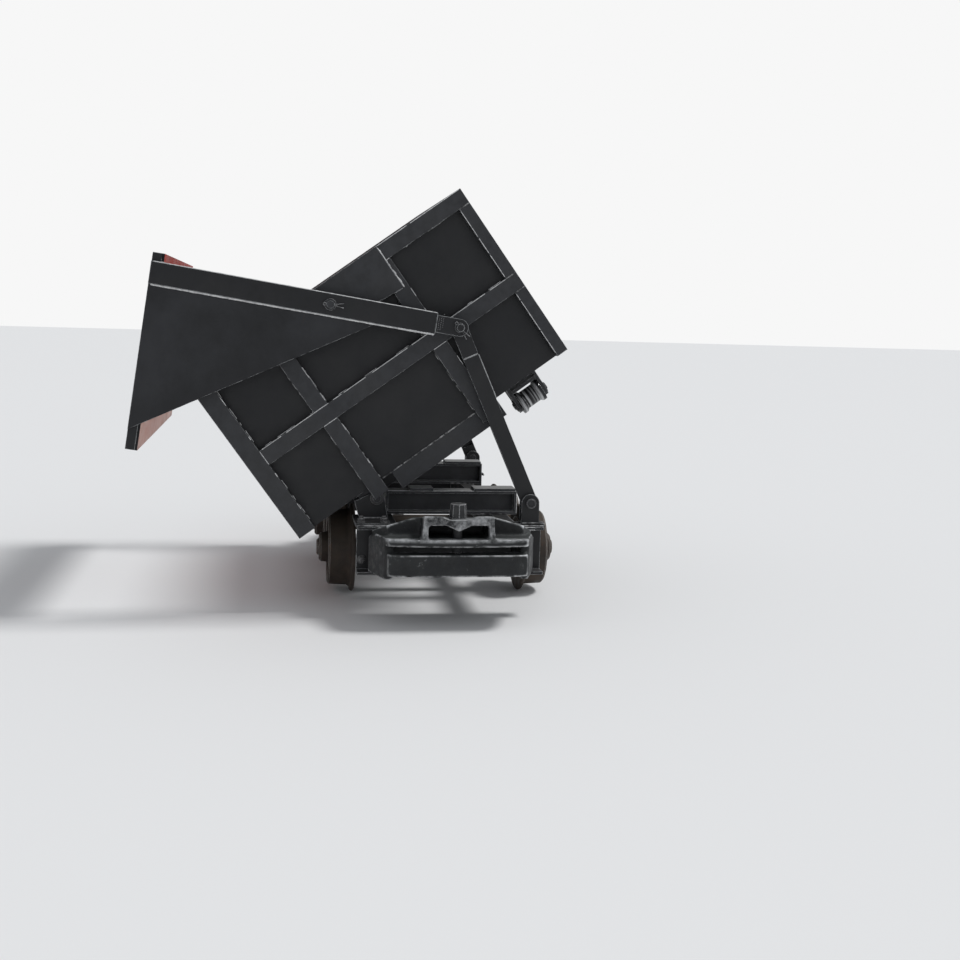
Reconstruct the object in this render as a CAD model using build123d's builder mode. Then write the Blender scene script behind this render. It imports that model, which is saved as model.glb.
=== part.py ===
from build123d import *
from math import atan2, cos, degrees, hypot, radians, sin, tan
import os

os.makedirs("parts", exist_ok=True)

# Frame: +X runs along the track towards the near end, +Y to the side that the roller works on,
# +Z up, with the origin on the track's centre line, level with the lowest point of the flanges.
# Sizes in millimetres. Heights and places of the box and door are those of the lowered cart;
# the pieces are built in the pose in which the box is tipped.

# Wheels and axles, for a track of 600 mm gauge
BACK_TO_BACK = 556.0
TREAD_R = 125.0
FLANGE_H = 22.0
WHEEL_W = 88.0
RIM_T = 22.0
WEB_T = 16.0
HUB_R = 52.0
HUB_PROUD = 28.0
WHEELBASE = 500.0
AXLE_R = 28.0
AXLE_PROUD = 8.0
SEAT_GAP = 0.02
JOURNAL_GAP = 0.05

# Chassis
SECTION_T = 9.0
SOLE_Y = 190.0
SOLE_W = 50.0
SOLE_H = 71.0
SOLE_TOP = 283.0
AXLE_BOX_W = 92.0
AXLE_BOX_R = 40.0
AXLE_BOX_FLANGE = 26.0
HEAD_GAP = 15.0
HEAD_D = 60.0
HEAD_HALF = 290.0
HEAD_H = 149.0
BOLSTER_X = 370.0
BOLSTER_W = 64.0
BOLSTER_H = 77.0
BOLSTER_Y0 = -185.0
BOLSTER_Y1 = 248.0
BOLSTER_WEB = 8.0
BOLSTER_CAP = 8.0
PAD_T = 9.0
PADS = (("middle", -107.0, -31.0), ("right", 105.0, 243.0))

# Load box, as it lies when lowered
BOX_LEN = 1100.0
BOX_Y0 = -490.0
BOX_Y1 = 504.0
BOX_Z = 398.0
BOX_H = 602.0
WALL = 8.0
CHANNEL_T = 5.0
RIB = 52.0
RIB_PROUD = 30.0
CORNER_POST_W = 58.0
EDGE_POST_W = 38.0
LEFT_POST_Y = -204.0
RIGHT_POST_Y = 209.0
POST_DROP = 37.0
MID_RAIL_Z = 665.0
SIDE_POST_X = 180.0
STRINGER_W = 50.0
STRINGER_D = 24.0
BEARER_X = 290.0
BEARER_W = 50.0
BEARER_D = 46.0
BEARER_Y0 = -240.0
BEARER_Y1 = 236.0
BEARER_TAPER = 30.0
BEAM_D = 63.0
BEAM_W = 45.0
BEAM_Y0 = -140.0
BEAM_Y1 = 262.0
STRINGERS = (("middle", -69.0), ("right", 174.0))

# Tipping linkage, as Y and Z places
TILT = 36.2
HINGE_Y = -225.0
HINGE_Z = 355.0
HINGE_R = 24.0
HINGE_PIN_R = 13.0
LUG_T = 10.0
LUG_GAP = 0.5
LUG_FOOT = 54.0
LUG_SHIFT = 18.0
LUG_SHOULDER = 16.0
KNUCKLE_LEN = 44.0
KNUCKLE_INSET = 68.0
KNUCKLE_FLARE = 26.0
DOOR_PIVOT_Y = 1.5
DOOR_PIVOT_Z = 935.0
DOOR_LEAN = 7.6
ARM_RISE = -1.0
ARM_REACH = 400.0
LINK_PIVOT_Z = 355.0
BOSS_R = 28.0
PLATE_LEFT = 76.0
PLATE_OVER = 9.0
PLATE_DEPTH = 150.0
PLATE_STEP = 65.0
PLATE_EDGE = 100.0
PIN_R = 12.0
PIN_GAP = 0.05
PIN_PROUD = 18.0
OPEN_GAP = 8.0

# Layers along X, outwards from the end frame
BRACKET_T = 8.0
BRACKET_GAP = 6.0
LINK_T = 16.0
LINK_GAP = 4.0
ARM_T = 14.0
ARM_GAP = 6.0
EYE_PLATE_T = 12.0

# Door
DOOR_GAP = 8.0
DOOR_D = 36.0
DOOR_Z = 414.0
DOOR_H = 590.0
ARM_H = 67.0
ARM_END = 328.0
EYE_ROOT_H = 54.0
WING_T = 8.0
WING_FOOT = 60.0
WING_SLOPE = 32.0
LINK_W = 50.0
LINK_HEAD = 86.0
EYE_R = 27.0

# Link brackets on the headstocks
CLEVIS_R = 28.0
CLEVIS_W = 58.0
BRACKET_BASE_W = 92.0
BASE_T = 8.0

# Tipping roller
ROLLER_Y = 421.5
ROLLER_Z = 246.5
ROLLER_LEN = 96.0
ROLLER_R = 34.0
ROLLER_FLANGE_R = 42.0
ROLLER_PIN_R = 13.0
FORK_T = 12.0
FORK_W = 90.0
FORK_GAP = 2.0
FORK_BRIDGE = 92.0

# Couplers: cast pockets with a bumper plate
COUPLER_LEN = 170.0
COUPLER_HALF = 212.0
COUPLER_FLARE = 46.0
COUPLER_BOTTOM = 147.0
BUMPER_T = 24.0
BUMPER_BEVEL = 12.0
BUMPER_BEVEL_W = 42.0
CORE_WALL = 18.0
BUMPER_Z0 = 161.0
BUMPER_Z1 = 228.0
SHELF_Z0 = 249.0
SHELF_Z1 = 273.0
SHELF_BOW = 18.0
SHOULDER_D = 86.0
SHOULDER_DROP = 14.0
SHOULDER_HALF = 208.0
SHOULDER_END = 32.0
SHOULDER_LEAN = 14.0
SHOULDER_ROOT = 10.0
CHEEK_CUT = 20.0
JAW_HALF = 112.0
JAW_TOP = 343.0
JAW_T = 29.0
JAW_SAG = 9.0
JAW_INSET = 10.0
JAW_SLOPE = 18.0
LIP_HALF = 38.0
LIP_DROP = 18.0
LIP_D = 20.0
JAW_LAP = 18.0
POCKET_HALF = 91.0
POCKET_D = 130.0
COUPLER_PIN_R = 14.0
COUPLER_PIN_INSET = 46.0
PIN_HEAD_R = 27.0
PIN_HEAD_TOP = 376.0

HALF_LEN = BOX_LEN / 2
FRAME_X = HALF_LEN + RIB_PROUD
BRACKET_X = FRAME_X + BRACKET_GAP
LINK_X = BRACKET_X + BRACKET_T + LINK_GAP
ARM_X = LINK_X + LINK_T + ARM_GAP
ARM_FACE = ARM_X + ARM_T
HEAD_X = FRAME_X + HEAD_GAP
HEAD_FACE = HEAD_X + HEAD_D
HEAD_TOP = SOLE_TOP
COUPLER_X = HEAD_FACE + COUPLER_LEN
ENDS = (("near", 1), ("far", -1))
SIDES = (("left", -1), ("right", 1))


def turned(point, angle):
    """A (Y, Z) point turned about the origin, seen from +X."""
    c, s = cos(radians(angle)), sin(radians(angle))
    return (point[0] * c - point[1] * s, point[0] * s + point[1] * c)


def posed(x, angle, lowered, tipped):
    """Section plane at x, whose axes are the lowered Y and Z, turned so that one point meets."""
    shift = turned(lowered, angle)
    c, s = cos(radians(angle)), sin(radians(angle))
    return Plane(
        origin=(x, tipped[0] - shift[0], tipped[1] - shift[1]), x_dir=(0, c, s), z_dir=(1, 0, 0)
    )


# Pivots, lowered and tipped. The link's lower pivot lies where the link fits both positions.
HINGE = (HINGE_Y, HINGE_Z)
DOOR_LOW = (DOOR_PIVOT_Y, DOOR_PIVOT_Z)
OFFSET = turned((DOOR_LOW[0] - HINGE_Y, DOOR_LOW[1] - HINGE_Z), TILT)
DOOR_UP = (HINGE_Y + OFFSET[0], HINGE_Z + OFFSET[1])
REACH_LOW = turned((ARM_REACH, 0), ARM_RISE)
REACH_UP = turned(REACH_LOW, -DOOR_LEAN)
EYE_LOW = (DOOR_LOW[0] + REACH_LOW[0], DOOR_LOW[1] + REACH_LOW[1])
EYE_UP = (DOOR_UP[0] + REACH_UP[0], DOOR_UP[1] + REACH_UP[1])
EYE_DY = EYE_LOW[0] - EYE_UP[0]
EYE_DZ = EYE_LOW[1] - EYE_UP[1]
EYE_MID = ((EYE_LOW[0] + EYE_UP[0]) / 2, (EYE_LOW[1] + EYE_UP[1]) / 2)
LINK_PIVOT_Y = EYE_MID[0] - EYE_DZ * (LINK_PIVOT_Z - EYE_MID[1]) / EYE_DY
LINK_FOOT = (LINK_PIVOT_Y, LINK_PIVOT_Z)
LINK_LEN = hypot(EYE_UP[0] - LINK_PIVOT_Y, EYE_UP[1] - LINK_PIVOT_Z)
LINK_ANGLE = degrees(atan2(LINK_PIVOT_Y - EYE_UP[0], EYE_UP[1] - LINK_PIVOT_Z))


def box_plane(x):
    return posed(x, TILT, HINGE, HINGE)


def door_plane(x):
    return posed(x, -DOOR_LEAN, DOOR_LOW, DOOR_UP)


def link_plane(x):
    return posed(x, LINK_ANGLE, (0, 0), LINK_FOOT)


def box_point(x, y, z):
    return box_plane(x).from_local_coords((y, z, 0))


def rectangle(a0, a1, b0, b1, mode=Mode.ADD):
    """A rectangle between two corners, in a section sketch."""
    with Locations(((a0 + a1) / 2, (b0 + b1) / 2)):
        Rectangle(abs(a1 - a0), abs(b1 - b0), mode=mode)


def outline(*points):
    """A straight-sided face in a section sketch."""
    Polygon(*points, align=None)


def save(piece, label):
    """Names a finished piece and writes it."""
    piece.part.label = label
    export_step(piece.part, f"parts/{label}.step")


# Wheels and axles: a rail axle and its two wheels turn as one
BACK_Y = BACK_TO_BACK / 2
FACE_Y = BACK_Y + WHEEL_W
AXLE_END = FACE_Y + HUB_PROUD + AXLE_PROUD
FLANGE_R = TREAD_R + FLANGE_H
AXLE_Z = FLANGE_R
WEB_Y = BACK_Y + WHEEL_W * 0.3
BORE_R = AXLE_R + SEAT_GAP
RIM_R = TREAD_R - RIM_T
for end, way in ENDS:
    axle_x = way * WHEELBASE / 2
    turning = Axis((axle_x, 0, AXLE_Z), (0, 1, 0))
    across = Plane(origin=(axle_x, 0, AXLE_Z), x_dir=(0, 1, 0), z_dir=(1, 0, 0))
    with BuildPart() as wheels:
        with BuildSketch(across):
            with BuildLine():
                Polyline((BACK_Y, BORE_R), (BACK_Y, HUB_R), (WEB_Y, HUB_R + 8), (WEB_Y, RIM_R - 8))
                Polyline((WEB_Y, RIM_R - 8), (BACK_Y, RIM_R), (BACK_Y, FLANGE_R - 7))
                ThreePointArc((BACK_Y, FLANGE_R - 7), (BACK_Y + 7, FLANGE_R), (BACK_Y + 14, FLANGE_R - 5))
                ThreePointArc((BACK_Y + 14, FLANGE_R - 5), (BACK_Y + 19, TREAD_R + 6), (BACK_Y + 27, TREAD_R + 2))
                Polyline((BACK_Y + 27, TREAD_R + 2), (FACE_Y - 5, TREAD_R - 1), (FACE_Y, TREAD_R - 6))
                Polyline((FACE_Y, TREAD_R - 6), (FACE_Y, RIM_R), (WEB_Y + WEB_T, RIM_R - 8))
                Polyline((WEB_Y + WEB_T, RIM_R - 8), (WEB_Y + WEB_T, HUB_R + 6))
                Polyline((WEB_Y + WEB_T, HUB_R + 6), (FACE_Y + HUB_PROUD - 6, HUB_R - 4))
                Polyline((FACE_Y + HUB_PROUD - 6, HUB_R - 4), (FACE_Y + HUB_PROUD, HUB_R - 10))
                Polyline((FACE_Y + HUB_PROUD, HUB_R - 10), (FACE_Y + HUB_PROUD, BORE_R), (BACK_Y, BORE_R))
            make_face()
        revolve(axis=turning)
        mirror(about=Plane.XZ)
    save(wheels, f"wheels_{end}")
    with BuildPart() as axle:
        with BuildSketch(Plane.XZ.offset(-AXLE_END)):
            with Locations((axle_x, AXLE_Z)):
                Circle(AXLE_R)
        extrude(amount=2 * AXLE_END)
        chamfer(axle.edges(), 5)
    save(axle, f"axle_{end}")

# Sole bars: channels that run between the headstocks, open towards the wheels
SOLE_BOTTOM = SOLE_TOP - SOLE_H
for side, way in SIDES:
    with BuildPart() as sole:
        with BuildSketch(Plane.YZ.offset(-HEAD_X)):
            inner = way * (SOLE_Y - SOLE_W / 2)
            outer = way * (SOLE_Y + SOLE_W / 2)
            web = way * (SOLE_Y - SOLE_W / 2 + SECTION_T)
            outline(
                (inner, SOLE_BOTTOM),
                (outer, SOLE_BOTTOM),
                (outer, SOLE_BOTTOM + SECTION_T),
                (web, SOLE_BOTTOM + SECTION_T),
                (web, SOLE_TOP - SECTION_T),
                (outer, SOLE_TOP - SECTION_T),
                (outer, SOLE_TOP),
                (inner, SOLE_TOP),
            )
        extrude(amount=2 * HEAD_X)
    save(sole, f"sole_bar_{side}")

# Axle boxes, bolted up under the sole bars, inside the wheels
for end, way in ENDS:
    axle_x = way * WHEELBASE / 2
    with BuildPart() as boxes:
        with BuildSketch(Plane.XZ.offset(-SOLE_Y - SOLE_W / 2)):
            with Locations((axle_x, AXLE_Z)):
                Circle(AXLE_BOX_R)
            outline(
                (axle_x - AXLE_BOX_W / 2, SOLE_BOTTOM - BASE_T),
                (axle_x - AXLE_BOX_R, AXLE_Z),
                (axle_x + AXLE_BOX_R, AXLE_Z),
                (axle_x + AXLE_BOX_W / 2, SOLE_BOTTOM - BASE_T),
            )
            reach = AXLE_BOX_W / 2 + AXLE_BOX_FLANGE
            rectangle(axle_x - reach, axle_x + reach, SOLE_BOTTOM - BASE_T, SOLE_BOTTOM)
            with Locations((axle_x, AXLE_Z)):
                Circle(AXLE_R + JOURNAL_GAP, mode=Mode.SUBTRACT)
        extrude(amount=SOLE_W)
        mirror(about=Plane.XZ)
    save(boxes, f"axle_boxes_{end}")

# Headstocks: channels across the ends, open outwards
HEAD_BOTTOM = HEAD_TOP - HEAD_H
for end, way in ENDS:
    with BuildPart() as headstock:
        with BuildSketch(Plane.XZ.offset(-HEAD_HALF)):
            back, web, face = way * HEAD_X, way * (HEAD_X + SECTION_T), way * HEAD_FACE
            outline(
                (back, HEAD_BOTTOM),
                (face, HEAD_BOTTOM),
                (face, HEAD_BOTTOM + SECTION_T),
                (web, HEAD_BOTTOM + SECTION_T),
                (web, HEAD_TOP - SECTION_T),
                (face, HEAD_TOP - SECTION_T),
                (face, HEAD_TOP),
                (back, HEAD_TOP),
            )
        extrude(amount=2 * HEAD_HALF)
    save(headstock, f"headstock_{end}")

# Bolsters: I-beams across the sole bars, with rest pads for the lowered box's stringers
BOLSTER_TOP = SOLE_TOP + BOLSTER_H
for end, way in ENDS:
    with BuildPart() as bolster:
        with BuildSketch(Plane.XZ.offset(-BOLSTER_Y0)):
            with Locations((way * BOLSTER_X, SOLE_TOP + BOLSTER_H / 2)):
                Rectangle(BOLSTER_WEB, BOLSTER_H)
            for z0 in (SOLE_TOP, BOLSTER_TOP - SECTION_T):
                with Locations((way * BOLSTER_X, z0 + SECTION_T / 2)):
                    Rectangle(BOLSTER_W, SECTION_T)
        extrude(amount=BOLSTER_Y0 - BOLSTER_Y1)
        for cap_y in (BOLSTER_Y0, BOLSTER_Y1 - BOLSTER_CAP):
            with BuildSketch(Plane.XZ.offset(-cap_y)):
                with Locations((way * BOLSTER_X, SOLE_TOP + BOLSTER_H / 2)):
                    Rectangle(BOLSTER_W, BOLSTER_H)
            extrude(amount=-BOLSTER_CAP)
        with BuildSketch(Plane.XY.offset(BOLSTER_TOP)):
            for pad, y0, y1 in PADS:
                with Locations((way * BOLSTER_X, (y0 + y1) / 2)):
                    Rectangle(BOLSTER_W + 10, y1 - y0)
        extrude(amount=PAD_T)
    save(bolster, f"bolster_{end}")

# Box hinges: a base on each headstock's left end, with two lugs that hold a pin
HINGE_X = HALF_LEN - KNUCKLE_INSET + KNUCKLE_LEN / 2
LUG_X = KNUCKLE_LEN / 2 + LUG_GAP
PIN_OVER = 6.0
for end, way in ENDS:
    with BuildPart() as lugs:
        with BuildSketch(Plane.XY.offset(HEAD_TOP)):
            x0, x1 = HINGE_X - LUG_X - LUG_T - PIN_OVER, HEAD_FACE - HEAD_GAP
            with Locations((way * (x0 + x1) / 2, HINGE_Y - LUG_SHIFT)):
                Rectangle(x1 - x0, 2 * LUG_FOOT)
        extrude(amount=BASE_T)
        for lug_x in (way * HINGE_X - LUG_X - LUG_T, way * HINGE_X + LUG_X):
            with BuildSketch(Plane.YZ.offset(lug_x)):
                outline(
                    (HINGE_Y - LUG_FOOT, HEAD_TOP + BASE_T),
                    (HINGE_Y + LUG_FOOT - LUG_SHIFT, HEAD_TOP + BASE_T),
                    (HINGE_Y + HINGE_R, HINGE_Z),
                    (HINGE_Y, HINGE_Z + HINGE_R),
                    (HINGE_Y - LUG_FOOT - LUG_SHOULDER, HINGE_Z - LUG_T),
                )
                with Locations(HINGE):
                    Circle(HINGE_R)
                    Circle(HINGE_PIN_R, mode=Mode.SUBTRACT)
            extrude(amount=LUG_T)
    save(lugs, f"hinge_lugs_{end}")
    with BuildPart() as pin:
        with BuildSketch(Plane.YZ.offset(way * HINGE_X - LUG_X - LUG_T - PIN_OVER)):
            with Locations(HINGE):
                Circle(HINGE_PIN_R - SEAT_GAP)
        extrude(amount=2 * (LUG_X + LUG_T + PIN_OVER))
    save(pin, f"hinge_pin_{end}")

# Link brackets: a clevis on each headstock's right end, with a pin
OUTER_X = LINK_X + LINK_T + LINK_GAP
for end, way in ENDS:
    with BuildPart() as clevis:
        for plate_x in (BRACKET_X, OUTER_X):
            with BuildSketch(Plane.YZ.offset(way * plate_x)):
                with Locations(LINK_FOOT):
                    Circle(CLEVIS_R)
                outline(
                    (LINK_PIVOT_Y - CLEVIS_W / 2, HEAD_TOP + BASE_T),
                    (LINK_PIVOT_Y + CLEVIS_W / 2, HEAD_TOP + BASE_T),
                    (LINK_PIVOT_Y + CLEVIS_R, LINK_PIVOT_Z),
                    (LINK_PIVOT_Y - CLEVIS_R, LINK_PIVOT_Z),
                )
                with Locations(LINK_FOOT):
                    Circle(PIN_R, mode=Mode.SUBTRACT)
            extrude(amount=way * BRACKET_T)
        with BuildSketch(Plane.XY.offset(HEAD_TOP)):
            with Locations((way * (BRACKET_X + OUTER_X + BRACKET_T) / 2, LINK_PIVOT_Y)):
                Rectangle(OUTER_X + BRACKET_T - BRACKET_X, BRACKET_BASE_W)
        extrude(amount=BASE_T)
    save(clevis, f"link_bracket_{end}")
    with BuildPart() as pin:
        with BuildSketch(Plane.YZ.offset(way * (BRACKET_X - 2))):
            with Locations(LINK_FOOT):
                Circle(PIN_R - SEAT_GAP)
        extrude(amount=way * (OUTER_X + BRACKET_T + 10 - BRACKET_X))
    save(pin, f"link_pin_{end}")

# Links: channels with a plate head. The head's hole is wide, because the linkage is opened there.
for end, way in ENDS:
    with BuildPart() as link:
        with BuildSketch(link_plane(way * LINK_X)):
            Circle(LINK_W / 2 + 3)
            rectangle(-LINK_W / 2, LINK_W / 2, 0, LINK_LEN - LINK_HEAD)
            outline(
                (-LINK_W / 2, LINK_LEN - LINK_HEAD - 10),
                (LINK_W / 2, LINK_LEN - LINK_HEAD - 10),
                (EYE_R - 1, LINK_LEN),
                (1 - EYE_R, LINK_LEN),
            )
            with Locations((0, LINK_LEN)):
                Circle(EYE_R)
            Circle(PIN_R + PIN_GAP, mode=Mode.SUBTRACT)
            with Locations((0, LINK_LEN)):
                Circle(PIN_R + OPEN_GAP, mode=Mode.SUBTRACT)
        extrude(amount=way * LINK_T)
        with BuildSketch(link_plane(way * LINK_X)):
            groove = LINK_W / 2 - CHANNEL_T
            rectangle(-groove, groove, LINK_W, LINK_LEN - LINK_HEAD - 10)
        extrude(amount=way * (LINK_T - CHANNEL_T), mode=Mode.SUBTRACT)
    save(link, f"link_{end}")

# Load box: floor, end walls and side wall, open at the top and on the door's side
BOX_TOP = BOX_Z + BOX_H
SIDE_Y = BOX_Y1 + RIB_PROUD
with BuildPart() as floor:
    with BuildSketch(box_plane(-HALF_LEN + WALL)):
        rectangle(BOX_Y0, BOX_Y1, BOX_Z, BOX_Z + WALL)
    extrude(amount=BOX_LEN - 2 * WALL)
save(floor, "box_floor")
with BuildPart() as side_wall:
    with BuildSketch(box_plane(-HALF_LEN + WALL)):
        rectangle(BOX_Y1 - WALL, BOX_Y1, BOX_Z + WALL, BOX_TOP)
    extrude(amount=BOX_LEN - 2 * WALL)
save(side_wall, "box_side_wall")

# Posts and rails on each end wall: name, Y from, Y to, Z from, Z to
END_BARS = (
    ("corner post", BOX_Y0, BOX_Y0 + CORNER_POST_W, BOX_Z, BOX_TOP),
    ("left post", LEFT_POST_Y - RIB / 2, LEFT_POST_Y + RIB / 2, BOX_Z - POST_DROP, BOX_TOP),
    ("right post", RIGHT_POST_Y - RIB / 2, RIGHT_POST_Y + RIB / 2, BOX_Z - POST_DROP, BOX_TOP),
    ("edge post", SIDE_Y - EDGE_POST_W, SIDE_Y, BOX_Z, BOX_TOP),
    ("top rail", BOX_Y0, SIDE_Y, BOX_TOP - RIB, BOX_TOP),
    ("middle rail", BOX_Y0, SIDE_Y, MID_RAIL_Z - RIB / 2, MID_RAIL_Z + RIB / 2),
)
for end, way in ENDS:
    with BuildPart() as end_wall:
        with BuildSketch(box_plane(way * HALF_LEN)):
            rectangle(BOX_Y0, BOX_Y1, BOX_Z, BOX_TOP)
        extrude(amount=-way * WALL)
    save(end_wall, f"end_wall_{end}")
    with BuildPart() as bars:
        with BuildSketch(box_plane(way * HALF_LEN)):
            for bar, y0, y1, z0, z1 in END_BARS:
                rectangle(y0, y1, z0, z1)
        extrude(amount=way * RIB_PROUD)
        with BuildSketch(box_plane(way * HALF_LEN)):
            for bar, y0, y1, z0, z1 in END_BARS:
                rectangle(y0 + CHANNEL_T, y1 - CHANNEL_T, z0 + CHANNEL_T, z1 - CHANNEL_T)
        extrude(amount=way * (RIB_PROUD - CHANNEL_T), mode=Mode.SUBTRACT)
    save(bars, f"end_frame_{end}")

# Side wall's frame: posts and rails that end at the end frames' plates
SIDE_POSTS = (EDGE_POST_W / 2 - HALF_LEN, -SIDE_POST_X, SIDE_POST_X, HALF_LEN - EDGE_POST_W / 2)
SIDE_RAILS = ((BOX_Z, RIB), (MID_RAIL_Z - RIB / 2, RIB), (BOX_TOP - RIB, RIB))
side_at = box_point(0, BOX_Y1, BOX_Z)
side_plane = Plane(origin=side_at, x_dir=(-1, 0, 0), z_dir=box_plane(0).x_dir)
with BuildPart() as side_ribs:
    with BuildSketch(side_plane):
        for post_x in SIDE_POSTS:
            rectangle(post_x - EDGE_POST_W / 2, post_x + EDGE_POST_W / 2, 0, BOX_H)
        for z0, depth in SIDE_RAILS:
            rectangle(-HALF_LEN, HALF_LEN, z0 - BOX_Z, z0 - BOX_Z + depth)
    extrude(amount=RIB_PROUD)
    with BuildSketch(side_plane):
        for post_x in SIDE_POSTS:
            hollow = EDGE_POST_W / 2 - CHANNEL_T
            rectangle(post_x - hollow, post_x + hollow, CHANNEL_T, BOX_H - CHANNEL_T)
        for z0, depth in SIDE_RAILS:
            low, high = z0 - BOX_Z + CHANNEL_T, z0 - BOX_Z + depth - CHANNEL_T
            rectangle(CHANNEL_T - HALF_LEN, HALF_LEN - CHANNEL_T, low, high)
    extrude(amount=RIB_PROUD - CHANNEL_T, mode=Mode.SUBTRACT)
save(side_ribs, "side_frame")

# Under the floor: stringers that come down on the rest pads, and bearers across them
for place, mid_y in STRINGERS:
    with BuildPart() as stringer:
        with BuildSketch(box_plane(BEAM_W - HALF_LEN)):
            half, low = STRINGER_W / 2, BOX_Z - STRINGER_D
            outline(
                (mid_y - half, BOX_Z),
                (mid_y - half, low),
                (mid_y + half, low),
                (mid_y + half, BOX_Z),
                (mid_y + half - CHANNEL_T, BOX_Z),
                (mid_y + half - CHANNEL_T, low + CHANNEL_T),
                (mid_y - half + CHANNEL_T, low + CHANNEL_T),
                (mid_y - half + CHANNEL_T, BOX_Z),
            )
        extrude(amount=BOX_LEN - 2 * BEAM_W)
    save(stringer, f"stringer_{place}")
for end, way in ENDS:
    with BuildPart() as beam:
        with BuildSketch(box_plane(way * HALF_LEN)):
            rectangle(BEAM_Y0, BEAM_Y1, BOX_Z - BEAM_D, BOX_Z)
        extrude(amount=-way * BEAM_W)
        with BuildSketch(box_plane(way * (HALF_LEN - CHANNEL_T))):
            rectangle(BEAM_Y0, BEAM_Y1, BOX_Z - BEAM_D + CHANNEL_T, BOX_Z - CHANNEL_T)
        extrude(amount=-way * BEAM_W, mode=Mode.SUBTRACT)
    save(beam, f"end_beam_{end}")
    with BuildPart() as bearer:
        top, low = BOX_Z - STRINGER_D, BOX_Z - STRINGER_D - BEARER_D
        with BuildSketch(box_plane(way * BEARER_X - BEARER_W / 2)):
            outline((BEARER_Y0, top), (BEARER_Y0 + BEARER_TAPER, low), (BEARER_Y1 - BEARER_TAPER, low), (BEARER_Y1, top))
        extrude(amount=BEARER_W)
        with BuildSketch(box_plane(way * BEARER_X - BEARER_W / 2 + SECTION_T)):
            rectangle(BEARER_Y0, BEARER_Y1, low + SECTION_T, top)
        extrude(amount=BEARER_W - 2 * SECTION_T, mode=Mode.SUBTRACT)
    save(bearer, f"bearer_{end}")
    with BuildPart() as knuckle:
        with BuildSketch(box_plane(way * HINGE_X - KNUCKLE_LEN / 2)):
            with Locations(HINGE):
                Circle(HINGE_R)
            outline(
                (HINGE_Y - HINGE_R, HINGE_Z),
                (HINGE_Y + HINGE_R, HINGE_Z),
                (HINGE_Y + HINGE_R + KNUCKLE_FLARE, BOX_Z),
                (HINGE_Y - HINGE_R - KNUCKLE_FLARE, BOX_Z),
            )
            with Locations(HINGE):
                Circle(HINGE_PIN_R + PIN_GAP, mode=Mode.SUBTRACT)
        extrude(amount=KNUCKLE_LEN)
    save(knuckle, f"hinge_knuckle_{end}")

# Door pivots: a plate and a boss on each end frame, with the pin that the door swings on
PLATE_RIGHT = RIGHT_POST_Y + PLATE_OVER
PLATE_CORNER = DOOR_PIVOT_Y - PLATE_LEFT
PLATE_RISE = PLATE_STEP / 16
for end, way in ENDS:
    with BuildPart() as pivot:
        with BuildSketch(box_plane(way * FRAME_X)):
            outline(
                (PLATE_RIGHT, BOX_TOP),
                (PLATE_RIGHT, BOX_TOP - PLATE_DEPTH),
                (PLATE_RIGHT - PLATE_STEP, BOX_TOP - PLATE_DEPTH + PLATE_RISE),
                (PLATE_CORNER, BOX_TOP - PLATE_EDGE),
                (PLATE_CORNER, BOX_TOP),
            )
        extrude(amount=way * WALL)
        with BuildSketch(box_plane(way * (FRAME_X + WALL))):
            with Locations(DOOR_LOW):
                Circle(BOSS_R)
        extrude(amount=way * (ARM_X - LUG_GAP - FRAME_X - WALL), taper=6)
        with BuildSketch(box_plane(way * FRAME_X)):
            with Locations(DOOR_LOW):
                Circle(PIN_R)
        extrude(amount=way * (ARM_FACE + PIN_PROUD - FRAME_X))
    save(pivot, f"door_pivot_{end}")

# Door: a plate with a frame of channels outside, hung by an arm and a wing at each end
PANEL_Y = BOX_Y0 - DOOR_GAP
DOOR_TOP = DOOR_Z + DOOR_H
with BuildPart() as panel:
    with BuildSketch(door_plane(-ARM_X)):
        rectangle(PANEL_Y - WALL, PANEL_Y, DOOR_Z, DOOR_TOP)
    extrude(amount=2 * ARM_X)
save(panel, "door_panel")

DOOR_RAILS = (0, (DOOR_H - RIB) / 2, DOOR_H - RIB)
DOOR_POSTS = (RIB / 2 - ARM_X, -SIDE_POST_X, SIDE_POST_X, ARM_X - RIB / 2)
door_face = door_plane(0).from_local_coords((PANEL_Y - WALL, DOOR_Z, 0))
outward = Plane(origin=door_face, x_dir=(-1, 0, 0), z_dir=door_plane(0).x_dir)
with BuildPart() as door_frame:
    with BuildSketch(outward):
        for z0 in DOOR_RAILS:
            rectangle(-ARM_X, ARM_X, z0, z0 + RIB)
        for post_x in DOOR_POSTS:
            rectangle(post_x - RIB / 2, post_x + RIB / 2, 0, DOOR_H)
    extrude(amount=WALL - DOOR_D)
    with BuildSketch(outward):
        for z0 in DOOR_RAILS:
            rectangle(CHANNEL_T - ARM_X, ARM_X - CHANNEL_T, z0 + CHANNEL_T, z0 + RIB - CHANNEL_T)
        for post_x in DOOR_POSTS:
            hollow = RIB / 2 - CHANNEL_T
            rectangle(post_x - hollow, post_x + hollow, CHANNEL_T, DOOR_H - CHANNEL_T)
    extrude(amount=WALL + CHANNEL_T - DOOR_D, mode=Mode.SUBTRACT)
save(door_frame, "door_frame")

ARM_LEFT = PANEL_Y - DOOR_D
RISE = tan(radians(ARM_RISE))


def arm_z(y):
    """Height of the arm's middle line, which runs through the door's pivot."""
    return DOOR_PIVOT_Z + (y - DOOR_PIVOT_Y) * RISE


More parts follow.
